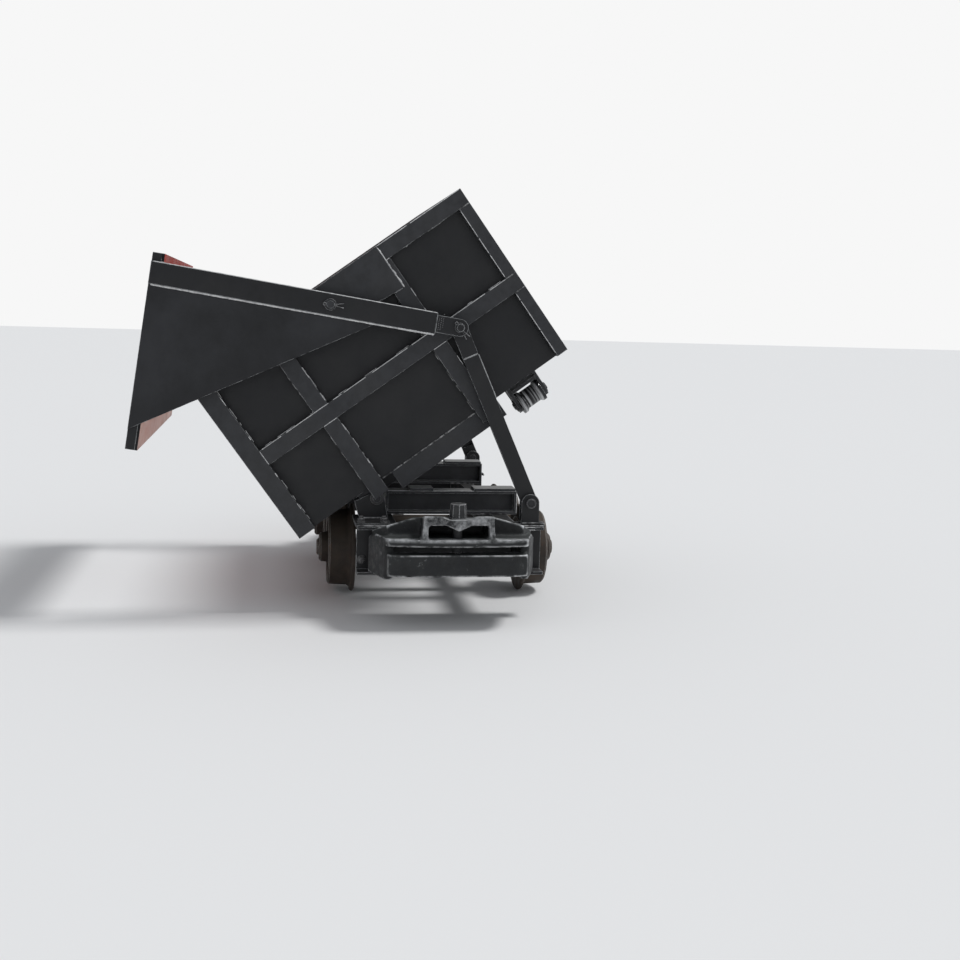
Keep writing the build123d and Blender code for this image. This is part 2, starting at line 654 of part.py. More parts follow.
for end, way in ENDS:
    with BuildPart() as arm:
        with BuildSketch(door_plane(way * ARM_X)):
            outline(
                (ARM_LEFT, arm_z(ARM_LEFT) - ARM_H / 2),
                (ARM_END, arm_z(ARM_END) - ARM_H / 2),
                (ARM_END, arm_z(ARM_END) + ARM_H / 2),
                (ARM_LEFT, arm_z(ARM_LEFT) + ARM_H / 2),
            )
            with Locations(DOOR_LOW):
                Circle(PIN_R + PIN_GAP, mode=Mode.SUBTRACT)
        extrude(amount=way * ARM_T)
        with BuildSketch(door_plane(way * ARM_X)):
            root = ARM_END - ARM_T
            outline(
                (root, arm_z(root) - EYE_ROOT_H / 2),
                (EYE_LOW[0], EYE_LOW[1] - EYE_R),
                (EYE_LOW[0], EYE_LOW[1] + EYE_R),
                (root, arm_z(root) + EYE_ROOT_H / 2),
            )
            with Locations(EYE_LOW):
                Circle(EYE_R)
        extrude(amount=way * EYE_PLATE_T)
        with BuildSketch(door_plane(way * (LINK_X - ARM_GAP))):
            with Locations(EYE_LOW):
                Circle(PIN_R)
        extrude(amount=way * (ARM_FACE + PIN_PROUD + ARM_GAP - LINK_X))
    save(arm, f"door_arm_{end}")
    with BuildPart() as wing:
        with BuildSketch(door_plane(way * ARM_X)):
            foot_z = DOOR_Z + WING_FOOT
            arm_low = arm_z(ARM_LEFT) - ARM_H / 2
            tip_y = ARM_LEFT + (arm_low - foot_z) / (tan(radians(WING_SLOPE)) - RISE)
            outline((ARM_LEFT, foot_z), (tip_y, arm_z(tip_y) - ARM_H / 2), (ARM_LEFT, arm_low))
        extrude(amount=way * WING_T)
    save(wing, f"door_wing_{end}")

# Roller that climbs the ramp, in a fork under the floor's right edge
ROLLER_Y0 = ROLLER_Y - ROLLER_LEN / 2
ROLLER_Y1 = ROLLER_Y + ROLLER_LEN / 2
with BuildPart() as roller:
    with BuildSketch(box_plane(0)):
        outline(
            (ROLLER_Y0, ROLLER_Z + ROLLER_PIN_R + PIN_GAP),
            (ROLLER_Y0, ROLLER_Z + ROLLER_FLANGE_R),
            (ROLLER_Y0 + 14, ROLLER_Z + ROLLER_FLANGE_R),
            (ROLLER_Y0 + 22, ROLLER_Z + ROLLER_R),
            (ROLLER_Y1 - 22, ROLLER_Z + ROLLER_R),
            (ROLLER_Y1 - 14, ROLLER_Z + ROLLER_FLANGE_R),
            (ROLLER_Y1, ROLLER_Z + ROLLER_FLANGE_R),
            (ROLLER_Y1, ROLLER_Z + ROLLER_PIN_R + PIN_GAP),
        )
    revolve(axis=Axis(box_point(0, ROLLER_Y, ROLLER_Z), box_plane(0).x_dir))
save(roller, "tipping_roller")
with BuildPart() as fork:
    for fork_y in (ROLLER_Y0 - FORK_GAP, ROLLER_Y1 + FORK_GAP + FORK_T):
        cheek_at = box_point(0, fork_y, ROLLER_Z)
        with BuildSketch(Plane(origin=cheek_at, x_dir=(-1, 0, 0), z_dir=box_plane(0).x_dir)):
            Circle(FORK_W / 3)
            outline(
                (-FORK_W / 2, BOX_Z - ROLLER_Z),
                (FORK_W / 2, BOX_Z - ROLLER_Z),
                (FORK_W / 3, 0),
                (-FORK_W / 3, 0),
            )
        extrude(amount=-FORK_T)
    with BuildSketch(box_plane(-FORK_W / 2)):
        bridge = BOX_Z - FORK_BRIDGE
        rectangle(ROLLER_Y0 - FORK_GAP, ROLLER_Y1 + FORK_GAP, bridge - FORK_T, bridge)
    extrude(amount=FORK_W)
    pin_at = box_point(0, ROLLER_Y0 - FORK_GAP - FORK_T - 8, ROLLER_Z)
    with BuildSketch(Plane(origin=pin_at, x_dir=(1, 0, 0), z_dir=box_plane(0).x_dir)):
        Circle(ROLLER_PIN_R)
    extrude(amount=ROLLER_LEN + 2 * (FORK_GAP + FORK_T + 8))
save(fork, "roller_fork")

# Couplers: a casting in each headstock's mouth, with a shelf, a bumper plate and a jaw for the pin
for end, way in ENDS:
    seat, face = way * (HEAD_X + SECTION_T), way * HEAD_FACE
    front, shoulder = way * COUPLER_X, way * (HEAD_FACE + SHOULDER_D)
    wide = COUPLER_HALF + COUPLER_FLARE
    with BuildPart() as coupler:
        with BuildSketch(Plane.YZ.offset(seat)):
            inside = HEAD_BOTTOM + SECTION_T
            rectangle(-COUPLER_HALF, COUPLER_HALF, inside, HEAD_TOP - SECTION_T)
        extrude(amount=face - seat)
        with BuildSketch(Plane.XY.offset(COUPLER_BOTTOM)):
            with BuildLine():
                Polyline((face, -wide), (front - way * SHELF_BOW, -COUPLER_HALF))
                ThreePointArc(
                    (front - way * SHELF_BOW, -COUPLER_HALF),
                    (front, 0),
                    (front - way * SHELF_BOW, COUPLER_HALF),
                )
                Polyline((front - way * SHELF_BOW, COUPLER_HALF), (face, wide), (face, -wide))
            make_face()
        extrude(amount=SHELF_Z1 - COUPLER_BOTTOM)
        inner, crest, root = JAW_HALF + SHOULDER_ROOT, JAW_TOP - SHOULDER_DROP, SHELF_Z1 - SHOULDER_ROOT
        for place, half, high, top in (
            (face, wide - BUMPER_T / 4, SHELF_Z1, crest - SHOULDER_LEAN),
            (shoulder, SHOULDER_HALF, SHELF_Z1 + SHOULDER_END, crest),
        ):
            with BuildSketch(Plane.YZ.offset(place)):
                outline((-half, root), (-half, high), (-inner, top), (inner, top), (half, high), (half, root))
        loft()
        for side in (-1, 1):
            with BuildSketch(Plane.YZ.offset(face)):
                outline(
                    (side * (wide + 1), SHELF_Z1 + 1),
                    (side * (wide - CHEEK_CUT), SHELF_Z1 + 1),
                    (side * (wide + 1), SHELF_Z1 - CHEEK_CUT),
                )
            extrude(amount=shoulder - face, mode=Mode.SUBTRACT)
        with BuildSketch(Plane.YZ.offset(shoulder - way * JAW_LAP)):
            outline(
                (-JAW_HALF, SHELF_Z0),
                (-JAW_HALF + 6, JAW_TOP),
                (-50, JAW_TOP),
                (-28, JAW_TOP - JAW_SAG),
                (42, JAW_TOP - JAW_SAG),
                (58, JAW_TOP),
                (JAW_HALF - 6, JAW_TOP),
                (JAW_HALF, SHELF_Z0),
            )
        extrude(amount=front - shoulder + way * (JAW_LAP - JAW_INSET))
        with BuildSketch(Plane.XZ.offset(-wide)):
            outline(
                (front - way * (JAW_INSET + SECTION_T), JAW_TOP),
                (shoulder - way * JAW_LAP, JAW_TOP + 1),
                (shoulder - way * JAW_LAP, JAW_TOP - JAW_SLOPE),
            )
        extrude(amount=2 * wide, mode=Mode.SUBTRACT)
        with BuildSketch(Plane.XY.offset(COUPLER_BOTTOM)):
            core, back = front - way * (BUMPER_T + SHELF_BOW), seat + way * BUMPER_T / 2
            outline(
                (back, CORE_WALL - COUPLER_HALF),
                (core, CORE_WALL - COUPLER_HALF),
                (core, COUPLER_HALF - CORE_WALL),
                (back, COUPLER_HALF - CORE_WALL),
            )
        extrude(amount=SHELF_Z0 - COUPLER_BOTTOM, mode=Mode.SUBTRACT)
        with BuildSketch(Plane.YZ.offset(front + way)):
            rectangle(-wide, wide, COUPLER_BOTTOM, SHELF_Z0)
        extrude(amount=-way * (BUMPER_T + SHELF_BOW), mode=Mode.SUBTRACT)
        with BuildSketch(Plane.XY.offset(BUMPER_Z0)):
            back, bevel = core - way * BUMPER_T, front - way * BUMPER_BEVEL
            outline(
                (back, -COUPLER_HALF),
                (bevel, -COUPLER_HALF),
                (front, BUMPER_BEVEL_W - COUPLER_HALF),
                (front, COUPLER_HALF - BUMPER_BEVEL_W),
                (bevel, COUPLER_HALF),
                (back, COUPLER_HALF),
            )
            inner = COUPLER_HALF - CORE_WALL
            rectangle(core - way * BUMPER_T, core, -inner, inner, Mode.SUBTRACT)
        extrude(amount=BUMPER_Z1 - BUMPER_Z0)
        with BuildSketch(Plane.YZ.offset(front + way)):
            rectangle(-POCKET_HALF, POCKET_HALF, SHELF_Z1, JAW_TOP - JAW_T)
        extrude(amount=-way * POCKET_D, mode=Mode.SUBTRACT)
        with BuildSketch(Plane.YZ.offset(front - way * JAW_INSET)):
            under = JAW_TOP - JAW_T
            outline((-LIP_HALF, under + 2), (-LIP_HALF, under), (0, under - LIP_DROP), (LIP_HALF, under), (LIP_HALF, under + 2))
        extrude(amount=-way * LIP_D)
        with BuildSketch(Plane.XY.offset(BUMPER_Z1)):
            with Locations((front - way * COUPLER_PIN_INSET, 0)):
                Circle(COUPLER_PIN_R + 1)
        extrude(amount=JAW_TOP - BUMPER_Z1, mode=Mode.SUBTRACT)
    save(coupler, f"coupler_{end}")
    with BuildPart() as pin:
        pin_base = JAW_TOP - JAW_SAG
        with BuildSketch(Plane.XY.offset(BUMPER_Z1)):
            with Locations((front - way * COUPLER_PIN_INSET, 0)):
                Circle(COUPLER_PIN_R)
        extrude(amount=pin_base - BUMPER_Z1)
        with BuildSketch(Plane.XY.offset(pin_base)):
            with Locations((front - way * COUPLER_PIN_INSET, 0)):
                RegularPolygon(PIN_HEAD_R, 8)
        extrude(amount=PIN_HEAD_TOP - pin_base, taper=4)
    save(pin, f"coupler_pin_{end}")
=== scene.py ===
"""Looks of a side dump ore cart: finishes, welds, fasteners, light and camera round the CAD frame."""

import logging
import math
import random
from dataclasses import dataclass
from enum import Enum
from typing import Iterable, Sequence

import bmesh
import bpy
from mathutils import Matrix, Vector, noise


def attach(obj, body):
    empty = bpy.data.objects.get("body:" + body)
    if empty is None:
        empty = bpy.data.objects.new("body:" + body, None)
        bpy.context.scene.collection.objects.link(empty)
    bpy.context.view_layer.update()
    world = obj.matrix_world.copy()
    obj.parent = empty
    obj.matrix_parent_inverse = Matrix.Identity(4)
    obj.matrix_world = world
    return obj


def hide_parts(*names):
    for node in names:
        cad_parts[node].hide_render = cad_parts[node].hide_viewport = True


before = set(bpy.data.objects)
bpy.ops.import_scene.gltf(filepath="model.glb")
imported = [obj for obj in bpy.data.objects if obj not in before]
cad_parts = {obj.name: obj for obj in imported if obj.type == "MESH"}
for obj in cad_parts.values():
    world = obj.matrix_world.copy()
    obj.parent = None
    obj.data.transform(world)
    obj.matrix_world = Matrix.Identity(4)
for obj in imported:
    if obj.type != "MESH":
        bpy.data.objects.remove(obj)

log = logging.getLogger("cart")
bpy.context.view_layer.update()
MM = 0.001
Spot = tuple[float, float, float]
Path = list[Vector]
Colour = tuple[float, float, float]
Profile = Sequence[tuple[float, float]]
Nodes = dict[str, tuple[str, ...]]
Socket = bpy.types.NodeSocket
Outputs = bpy.types.NodeOutputs
Tree = bpy.types.NodeTree
Node = bpy.types.Node
Object = bpy.types.Object
Mesh = bpy.types.Mesh
Material = bpy.types.Material
BMesh = bmesh.types.BMesh
UP = Vector((0, 0, 1))
ALONG = Vector((1, 0, 0))
SIDES = (-1, 1)


class End(Enum):
    """The cart's two ends, as the sign of X."""

    NEAR = 1
    FAR = -1

    @property
    def word(self) -> str:
        """The end's name in node and body names."""
        return self.name.lower()

    @property
    def out(self) -> Vector:
        """The direction out of the cart at this end."""
        return Vector((self.value, 0, 0))


class Coat(Enum):
    """The plates whose inner face carries red primer."""

    NONE = "none"
    END_WALL = "end_wall"
    FLOOR = "floor"
    SIDE_WALL = "side_wall"
    DOOR = "door"


@dataclass(frozen=True)
class Posed:
    """Turns places on the lowered cart into places in the photograph's pose.

    Attributes:
        angle: Turn about +X in degrees.
        lowered: Y and Z of a point before the turn, in millimetres.
        tipped: Y and Z of the same point after it, in millimetres.
    """

    angle: float
    lowered: tuple[float, float]
    tipped: tuple[float, float]

    def turned(self, y: float, z: float) -> tuple[float, float]:
        """Turns a direction's Y and Z parts."""
        c, s = math.cos(math.radians(self.angle)), math.sin(math.radians(self.angle))
        return (y * c - z * s, y * s + z * c)

    def at(self, x: float, y: float, z: float) -> Vector:
        """Gives a place of the lowered cart, in millimetres, as a point of the scene in metres."""
        dy, dz = self.turned(y - self.lowered[0], z - self.lowered[1])
        return Vector((x, self.tipped[0] + dy, self.tipped[1] + dz)) * MM

    def way(self, y: float, z: float) -> Vector:
        """Gives a direction across the lowered cart in the scene."""
        return Vector((0.0, *self.turned(y, z))).normalized()

    def lines(self, *runs: Sequence[Spot], way: int = 1) -> list[Path]:
        """Gives routes through places of the lowered cart.

        Args:
            *runs: Each route's places, in millimetres.
            way: The sign that X is taken with.

        Returns:
            The routes.
        """
        return [[self.at(way * x, y, z) for x, y, z in run] for run in runs]

    def stitched(self, seam: Sequence[Spot], seed: int, longest: float, widest: float, way: int = 1) -> list[Path]:
        """Splits a straight seam into hand-laid stitches of uneven length.

        Args:
            seam: Its two ends on the lowered cart, in millimetres.
            seed: Fixes the pattern.
            longest: Longest stitch in millimetres.
            widest: Widest space between two.
            way: The sign that X is taken with.

        Returns:
            The stitches' routes.
        """
        drawn = random.Random(seed)
        start, end = self.lines(seam, way=way)[0]
        length = (end - start).length / MM
        along = (end - start).normalized() * MM
        found: list[Path] = []
        place = drawn.uniform(2.0, widest * 0.6)
        while place < length - 8.0:
            stop = min(place + drawn.uniform(0.15, 1.0) * longest, length - 2.0)
            found.append([start + along * place, start + along * stop])
            place = stop + drawn.uniform(0.1, 1.0) * widest
        return found


TILT = 36.2
DOOR_LEAN = 7.6
HINGE = (-225.0, 355.0)
DOOR_PIVOT = (1.5, 935.0)
DOOR_PIVOT_UP = (-384.77, 956.81)
LINK_FOOT = (250.35, 355.0)
LINK_ANGLE = 23.85
LINK_LEN = 592.6
EYE_REACH = 400.0
EYE_DROP = math.radians(1.0)
GROUND = Posed(0.0, (0.0, 0.0), (0.0, 0.0))
BOX = Posed(TILT, HINGE, HINGE)
DOOR = Posed(-DOOR_LEAN, DOOR_PIVOT, DOOR_PIVOT_UP)
LINK = Posed(LINK_ANGLE, (0.0, 0.0), LINK_FOOT)
END_WALL_MIDDLE = 0.5425
BRIM_Z = 984.0
# Height on the door below which its inner face carries painted sunlight, fading out 420 mm higher.
SUNLIT_DOOR_FOOT_Z = 460.0
PRIMED = {
    Coat.FLOOR: (BOX, (0.0, 405.5), (0.0, 1.0)),
    Coat.SIDE_WALL: (BOX, (496.5, 0.0), (-1.0, 0.0)),
    Coat.DOOR: (DOOR, (-498.5, 0.0), (1.0, 0.0)),
}


class Graph:
    """Adds nodes to one node tree and wires them."""

    def __init__(self, tree: Tree) -> None:
        """Keeps the tree that the nodes go into."""
        self.tree = tree

    def node(self, kind: str, given: dict[str | int, object] | None = None, **settings: object) -> Node:
        """Adds a node.

        Args:
            kind: The node's type name.
            given: What its inputs get, by name or number: a node, a socket or a constant.
            **settings: Properties to set on it.

        Returns:
            The new node.
        """
        made = self.tree.nodes.new(kind)
        for name, value in settings.items():
            setattr(made, name, value)
        for name, value in (given or {}).items():
            self.wire(made.inputs[name], value)
        return made

    def wire(self, socket: Socket, value: object) -> None:
        """Links a socket to a node or an output, or sets its value.

        Args:
            socket: The input socket.
            value: A node, an output socket or a constant; a colour has three parts.
        """
        if isinstance(value, Node):
            value = value.outputs[0]
        if isinstance(value, Socket):
            self.tree.links.new(value, socket)
        else:
            socket.default_value = (*value, 1.0) if socket.type == "RGBA" else value

    def math(self, operation: str, *values: object) -> Socket:
        """Adds a Math node of an operation on sockets or numbers."""
        return self.node("ShaderNodeMath", dict(enumerate(values)), operation=operation).outputs[0]

    def times(self, first: Socket, *others: object) -> Socket:
        """Multiplies a socket by others or by numbers, one after another.

        Args:
            first: The first factor.
            *others: The other factors, sockets or numbers.

        Returns:
            The product.
        """
        for other in others:
            first = self.math("MULTIPLY", first, other)
        return first

    def dot(self, first: object, second: object) -> Socket:
        """Gives the dot product of two vectors."""
        return self.node("ShaderNodeVectorMath", {0: first, 1: second}, operation="DOT_PRODUCT").outputs["Value"]

    def part(self, vector: object, axis: str) -> Socket:
        """Gives a vector's part along X, Y or Z."""
        return self.node("ShaderNodeSeparateXYZ", {0: vector}).outputs[axis]

    def noise(self, vector: object, scale: object, detail: float, roughness: float) -> Socket:
        """Adds a noise texture of a scale in cells to a metre, with its octaves and their weight."""
        given = {"Vector": vector, "Scale": scale, "Detail": detail, "Roughness": roughness}
        return self.node("ShaderNodeTexNoise", given).outputs["Fac"]

    def span(self, value: object, low: object, high: object) -> Socket:
        """Rises smoothly from 0 to 1 while a value goes from low to high."""
        given = {"Value": value, "From Min": low, "From Max": high}
        return self.node("ShaderNodeMapRange", given, interpolation_type="SMOOTHSTEP").outputs["Result"]

    def mix(self, share: object, first: object, second: object) -> Socket:
        """Mixes two colours by the second one's share."""
        return self.node("ShaderNodeMix", {0: share, 6: first, 7: second}, data_type="RGBA").outputs[2]

    def group(self, tree: Tree, vector: object, **values: float) -> Outputs:
        """Places a shared group that reads a vector, with its own values, and gives its outputs."""
        return self.node("ShaderNodeGroup", {"Vector": vector, **values}, node_tree=tree).outputs


class Groups:
    """The shader node groups that the finishes share, each built once."""

    def __init__(self) -> None:
        """Builds the groups."""
        self.edges, self.dust, self.grain, self.runs = self._edges(), self._dust(), self._grain(), self._runs()

    @staticmethod
    def _start(name: str, inputs: dict[str, float], *outputs: str) -> tuple[Graph, Outputs]:
        """Starts a group with its sockets.

        Args:
            name: The group's name.
            inputs: First value of each number that it reads beside its Vector.
            *outputs: What it gives; a Normal is a vector, and all else is a number.

        Returns:
            The graph and what the group is given.
        """
        tree = bpy.data.node_groups.new(name, "ShaderNodeTree")
        face = tree.interface
        face.new_socket(name="Vector", in_out="INPUT", socket_type="NodeSocketVector")
        for label, value in inputs.items():
            face.new_socket(name=label, in_out="INPUT", socket_type="NodeSocketFloat").default_value = value
        for label in outputs:
            kind = "NodeSocketVector" if label == "Normal" else "NodeSocketFloat"
            face.new_socket(name=label, in_out="OUTPUT", socket_type=kind)
        graph = Graph(tree)
        return graph, graph.node("NodeGroupInput").outputs

    def _edges(self) -> Tree:
        """Worn edges: where a rounded edge's normal leaves the face's; edges that face up get extra bare colour,
        partly wear and partly a painted highlight where light from above catches them.

        Returns:
            The group, with outputs Mask and Normal.
        """
        graph, given = self._start("edge_wear", {"Radius": 0.003, "Amount": 0.5, "Scale": 40.0}, "Mask", "Normal")
        bevel = graph.node("ShaderNodeBevel", {"Radius": given["Radius"]}, samples=4)
        bend = graph.math("SUBTRACT", 1.0, graph.dot(bevel, graph.node("ShaderNodeNewGeometry").outputs["Normal"]))
        blotch = graph.noise(given["Vector"], given["Scale"], 5.0, 0.65)
        limit = graph.math("SUBTRACT", 0.95, given["Amount"])
        broken = graph.span(blotch, graph.math("SUBTRACT", limit, 0.12), graph.math("ADD", limit, 0.12))
        # Painted highlight, partly wear: edges that face up get more bare colour, as if lit from above.
        up_wear_and_highlight = graph.span(graph.part(bevel, "Z"), 0.05, 0.75)
        rubbed = graph.times(graph.span(blotch, 0.30, 0.62), up_wear_and_highlight, 0.8)
        mask = graph.times(graph.span(bend, 0.012, 0.10), graph.math("MAXIMUM", broken, rubbed))
        graph.node("NodeGroupOutput", {"Mask": mask, "Normal": bevel})
        return graph.tree

    def _dust(self) -> Tree:
        """Dust and grime, thicker on what faces up and in patches.

        Returns:
            The group, with output Mask.
        """
        graph, given = self._start("dust", {"Scale": 6.0, "Amount": 0.4, "Up": 0.5}, "Mask")
        up = graph.span(graph.part(graph.node("ShaderNodeTexCoord").outputs["Normal"], "Z"), -0.2, 1.0)
        patches = graph.span(graph.noise(given["Vector"], given["Scale"], 6.0, 0.62), 0.38, 0.72)
        both = graph.math("ADD", graph.times(patches, given["Amount"]), graph.times(up, given["Up"]))
        graph.node("NodeGroupOutput", {"Mask": graph.math("MINIMUM", both, 1.0)})
        return graph.tree

    def _grain(self) -> Tree:
        """Surface grain: a fine tone and a height for the bump.

        Returns:
            The group, with outputs Tone and Height.
        """
        graph, given = self._start("grain", {"Scale": 300.0, "Coarse": 25.0, "Share": 0.4}, "Tone", "Height")
        fine = graph.noise(given["Vector"], given["Scale"], 3.0, 0.5)
        coarse = graph.noise(given["Vector"], given["Coarse"], 5.0, 0.6)
        rest = graph.times(fine, graph.math("SUBTRACT", 1.0, given["Share"]))
        height = graph.math("ADD", graph.times(coarse, given["Share"]), rest)
        graph.node("NodeGroupOutput", {"Tone": coarse, "Height": height})
        return graph.tree

    def _runs(self) -> Tree:
        """Runs and scrapes drawn out along one direction.

        Returns:
            The group, with output Mask.
        """
        graph, given = self._start("runs", {"Scale": 30.0, "Amount": 0.3}, "Mask")
        blotch = graph.noise(given["Vector"], given["Scale"], 4.0, 0.6)
        start = graph.math("SUBTRACT", 0.78, graph.times(given["Amount"], 0.4))
        graph.node("NodeGroupOutput", {"Mask": graph.span(blotch, start, graph.math("ADD", start, 0.14))})
        return graph.tree


@dataclass(frozen=True)
class Finish:
    """One finish, from its base colour to its wear.

    Attributes:
        name: The material's name.
        base: Clean colour.
        deep: Colour of its darker patches.
        dust: Colour of dust or grime.
        bare: Colour of worn edges, also the painted highlight on edges that face up.
        rust: Colour of runs and rust; the roller's is pale grey, for streak bands round its barrel.
        roughness: Lowest and highest roughness.
        metallic: Metalness of the base; worn edges have their own.
        worn_metallic: Metalness of worn edges.
        wear: Share of the edges that is worn.
        edge: Width of worn edges in metres.
        dust_amount: Share of dust in patches.
        dust_up: Dust on what faces up; in the bolsters' fill-lit paint it is partly a painted highlight on their top
            faces.
        rust_amount: Share of runs.
        stretch: How the runs' pattern is scaled along X, Y and Z.
        turn: Turn of the runs' pattern about X, in degrees.
        grain: Fine and coarse grain, in cells to a metre.
        bump: Depth of the grain in metres.
        coat: Inner face that carries primer.
        specular: Strength of the mirror reflection.
        dust_scale: Patches of dust, in cells to a metre.
        carved: Whether worn edges come from the mesh's own curvature.
    """

    name: str
    base: Colour
    deep: Colour
    dust: Colour
    bare: Colour
    rust: Colour
    roughness: tuple[float, float] = (0.35, 0.6)
    metallic: float = 0.0
    worn_metallic: float = 0.3
    wear: float = 0.5
    edge: float = 0.002
    dust_amount: float = 0.3
    dust_up: float = 0.25
    rust_amount: float = 0.2
    stretch: Colour = (1.0, 1.0, 0.12)
    turn: float = 0.0
    grain: tuple[float, float] = (420.0, 26.0)
    bump: float = 0.0004
    coat: Coat = Coat.NONE
    specular: float = 0.35
    dust_scale: float = 5.0
    carved: bool = False

    def build(self, groups: Groups) -> Material:
        """Makes the material.

        Args:
            groups: The shared node groups.

        Returns:
            The new material.
        """
        material = bpy.data.materials.new(self.name)
        material.use_nodes = True
        material.node_tree.nodes.clear()
        graph = Graph(material.node_tree)
        place = graph.node("ShaderNodeTexCoord").outputs["Object"]
        edges = graph.group(groups.edges, place, Radius=self.edge, Amount=self.wear, Scale=38.0)
        dust = graph.group(groups.dust, place, Scale=self.dust_scale, Amount=self.dust_amount, Up=self.dust_up)[0]
        grain = graph.group(groups.grain, place, Scale=self.grain[0], Coarse=self.grain[1])
        level = graph.node("ShaderNodeMapping", {"Vector": place, "Rotation": (-math.radians(self.turn), 0.0, 0.0)})
        drawn = graph.node("ShaderNodeMapping", {"Vector": level, "Scale": self.stretch})
        runs = graph.group(groups.runs, drawn, Scale=34.0, Amount=self.rust_amount)[0]
        tone = graph.span(grain["Tone"], 0.3, 0.7)
        colour = graph.mix(tone, self.deep, self.base)
        if self.coat is not Coat.NONE:
            colour = self._primed(graph, place, colour, tone)
        colour = graph.mix(runs, graph.mix(dust, colour, self.dust), self.rust)
        worn = self._carved(graph, place) if self.carved else edges["Mask"]
        low, high = self.roughness
        rough = graph.math("ADD", graph.times(tone, high - low), low)
        dull = graph.times(graph.math("MAXIMUM", dust, runs), 0.25)
        shine = graph.times(worn, self.worn_metallic - self.metallic)
        bump = {"Distance": self.bump, "Strength": 0.8, "Height": grain["Height"], "Normal": edges["Normal"]}
        shader = graph.node("ShaderNodeBsdfPrincipled", {
            "Base Color": graph.mix(worn, colour, self.bare),
            "Roughness": graph.math("MINIMUM", graph.math("ADD", rough, dull), 1.0),
            "Metallic": graph.math("ADD", shine, self.metallic),
            "Specular IOR Level": self.specular,
            "Normal": graph.node("ShaderNodeBump", bump),
        })
        graph.node("ShaderNodeOutputMaterial", {"Surface": shader})
        return material

    @staticmethod
    def _carved(graph: Graph, place: Socket) -> Socket:
        """Finds where a casting is worn: on its ridges and on the lips that meet the next car.

        Args:
            graph: Where the nodes go.
            place: Object coordinates.

        Returns:
            The mask of bare metal.
        """
        ridge = graph.node("ShaderNodeAttribute", attribute_name="ridge").outputs["Fac"]
        rubbed = graph.span(graph.noise(place, 30.0, 6.0, 0.65), 0.36, 0.62)
        edge = graph.times(graph.span(ridge, 0.10, 0.28), rubbed)
        front = graph.span(graph.math("ABSOLUTE", graph.part(place, "X")), 0.775, 0.803)
        above = graph.span(graph.part(place, "Z"), 0.260, 0.271)
        streaks = graph.span(graph.noise(place, 14.0, 8.0, 0.72), 0.36, 0.64)
        marks = graph.times(graph.span(graph.noise(place, 22.0, 9.0, 0.8), 0.60, 0.70), 0.35)
        lip = graph.times(front, above, streaks, 0.8)
        return graph.math("MAXIMUM", graph.math("MAXIMUM", edge, lip), marks)

    def _primed(self, graph: Graph, place: Socket, paint: Socket, tone: Socket) -> Socket:
        """Puts red primer on the plate's inner face; on the door it also paints sunlight, as a paler pink, on the
        face's lower part.

        Args:
            graph: Where the nodes go.
            place: Object coordinates.
            paint: The outside's colour.
            tone: A fine pattern.

        Returns:
            The colour of the whole plate.
        """
        if self.coat is Coat.END_WALL:
            inner = graph.math("LESS_THAN", graph.math("ABSOLUTE", graph.part(place, "X")), END_WALL_MIDDLE)
        else:
            posed, face, way = PRIMED[self.coat]
            facing = posed.way(*way)
            inner = graph.math("GREATER_THAN", graph.dot(place, facing), posed.at(0.0, *face).dot(facing))
        if self.coat in (Coat.END_WALL, Coat.SIDE_WALL):
            above = BOX.way(0.0, 1.0)
            rise, rim = graph.dot(place, above), BOX.at(0.0, 0.0, BRIM_Z).dot(above)
            paint = graph.mix(graph.span(rise, rim, rim + 0.006), paint, (0.16, 0.16, 0.165))
            brim = graph.span(rise, rim - 0.024, rim - 0.012)
            inner = graph.times(inner, graph.math("SUBTRACT", 1.0, brim))
        scuffs = graph.span(graph.noise(place, 9.0, 8.0, 0.7), 0.44, 0.66)
        primer = graph.mix(tone, (0.38, 0.040, 0.026), (0.54, 0.068, 0.045))
        primer = graph.mix(graph.times(scuffs, 0.3), primer, (0.48, 0.27, 0.24))
        # Painted sunlight: the lower part of the door's inner face is mixed towards a pale pink, as if the sun fell
        # on it.
        if self.coat is Coat.DOOR:
            above = DOOR.way(0.0, 1.0)
            foot = DOOR.at(0.0, -500.0, SUNLIT_DOOR_FOOT_Z).dot(above)
            painted_sunlight = graph.math("SUBTRACT", 1.0, graph.span(graph.dot(place, above), foot, foot + 0.42))
            primer = graph.mix(graph.times(painted_sunlight, 0.88), primer, (0.60, 0.41, 0.35))
        return graph.mix(inner, paint, primer)


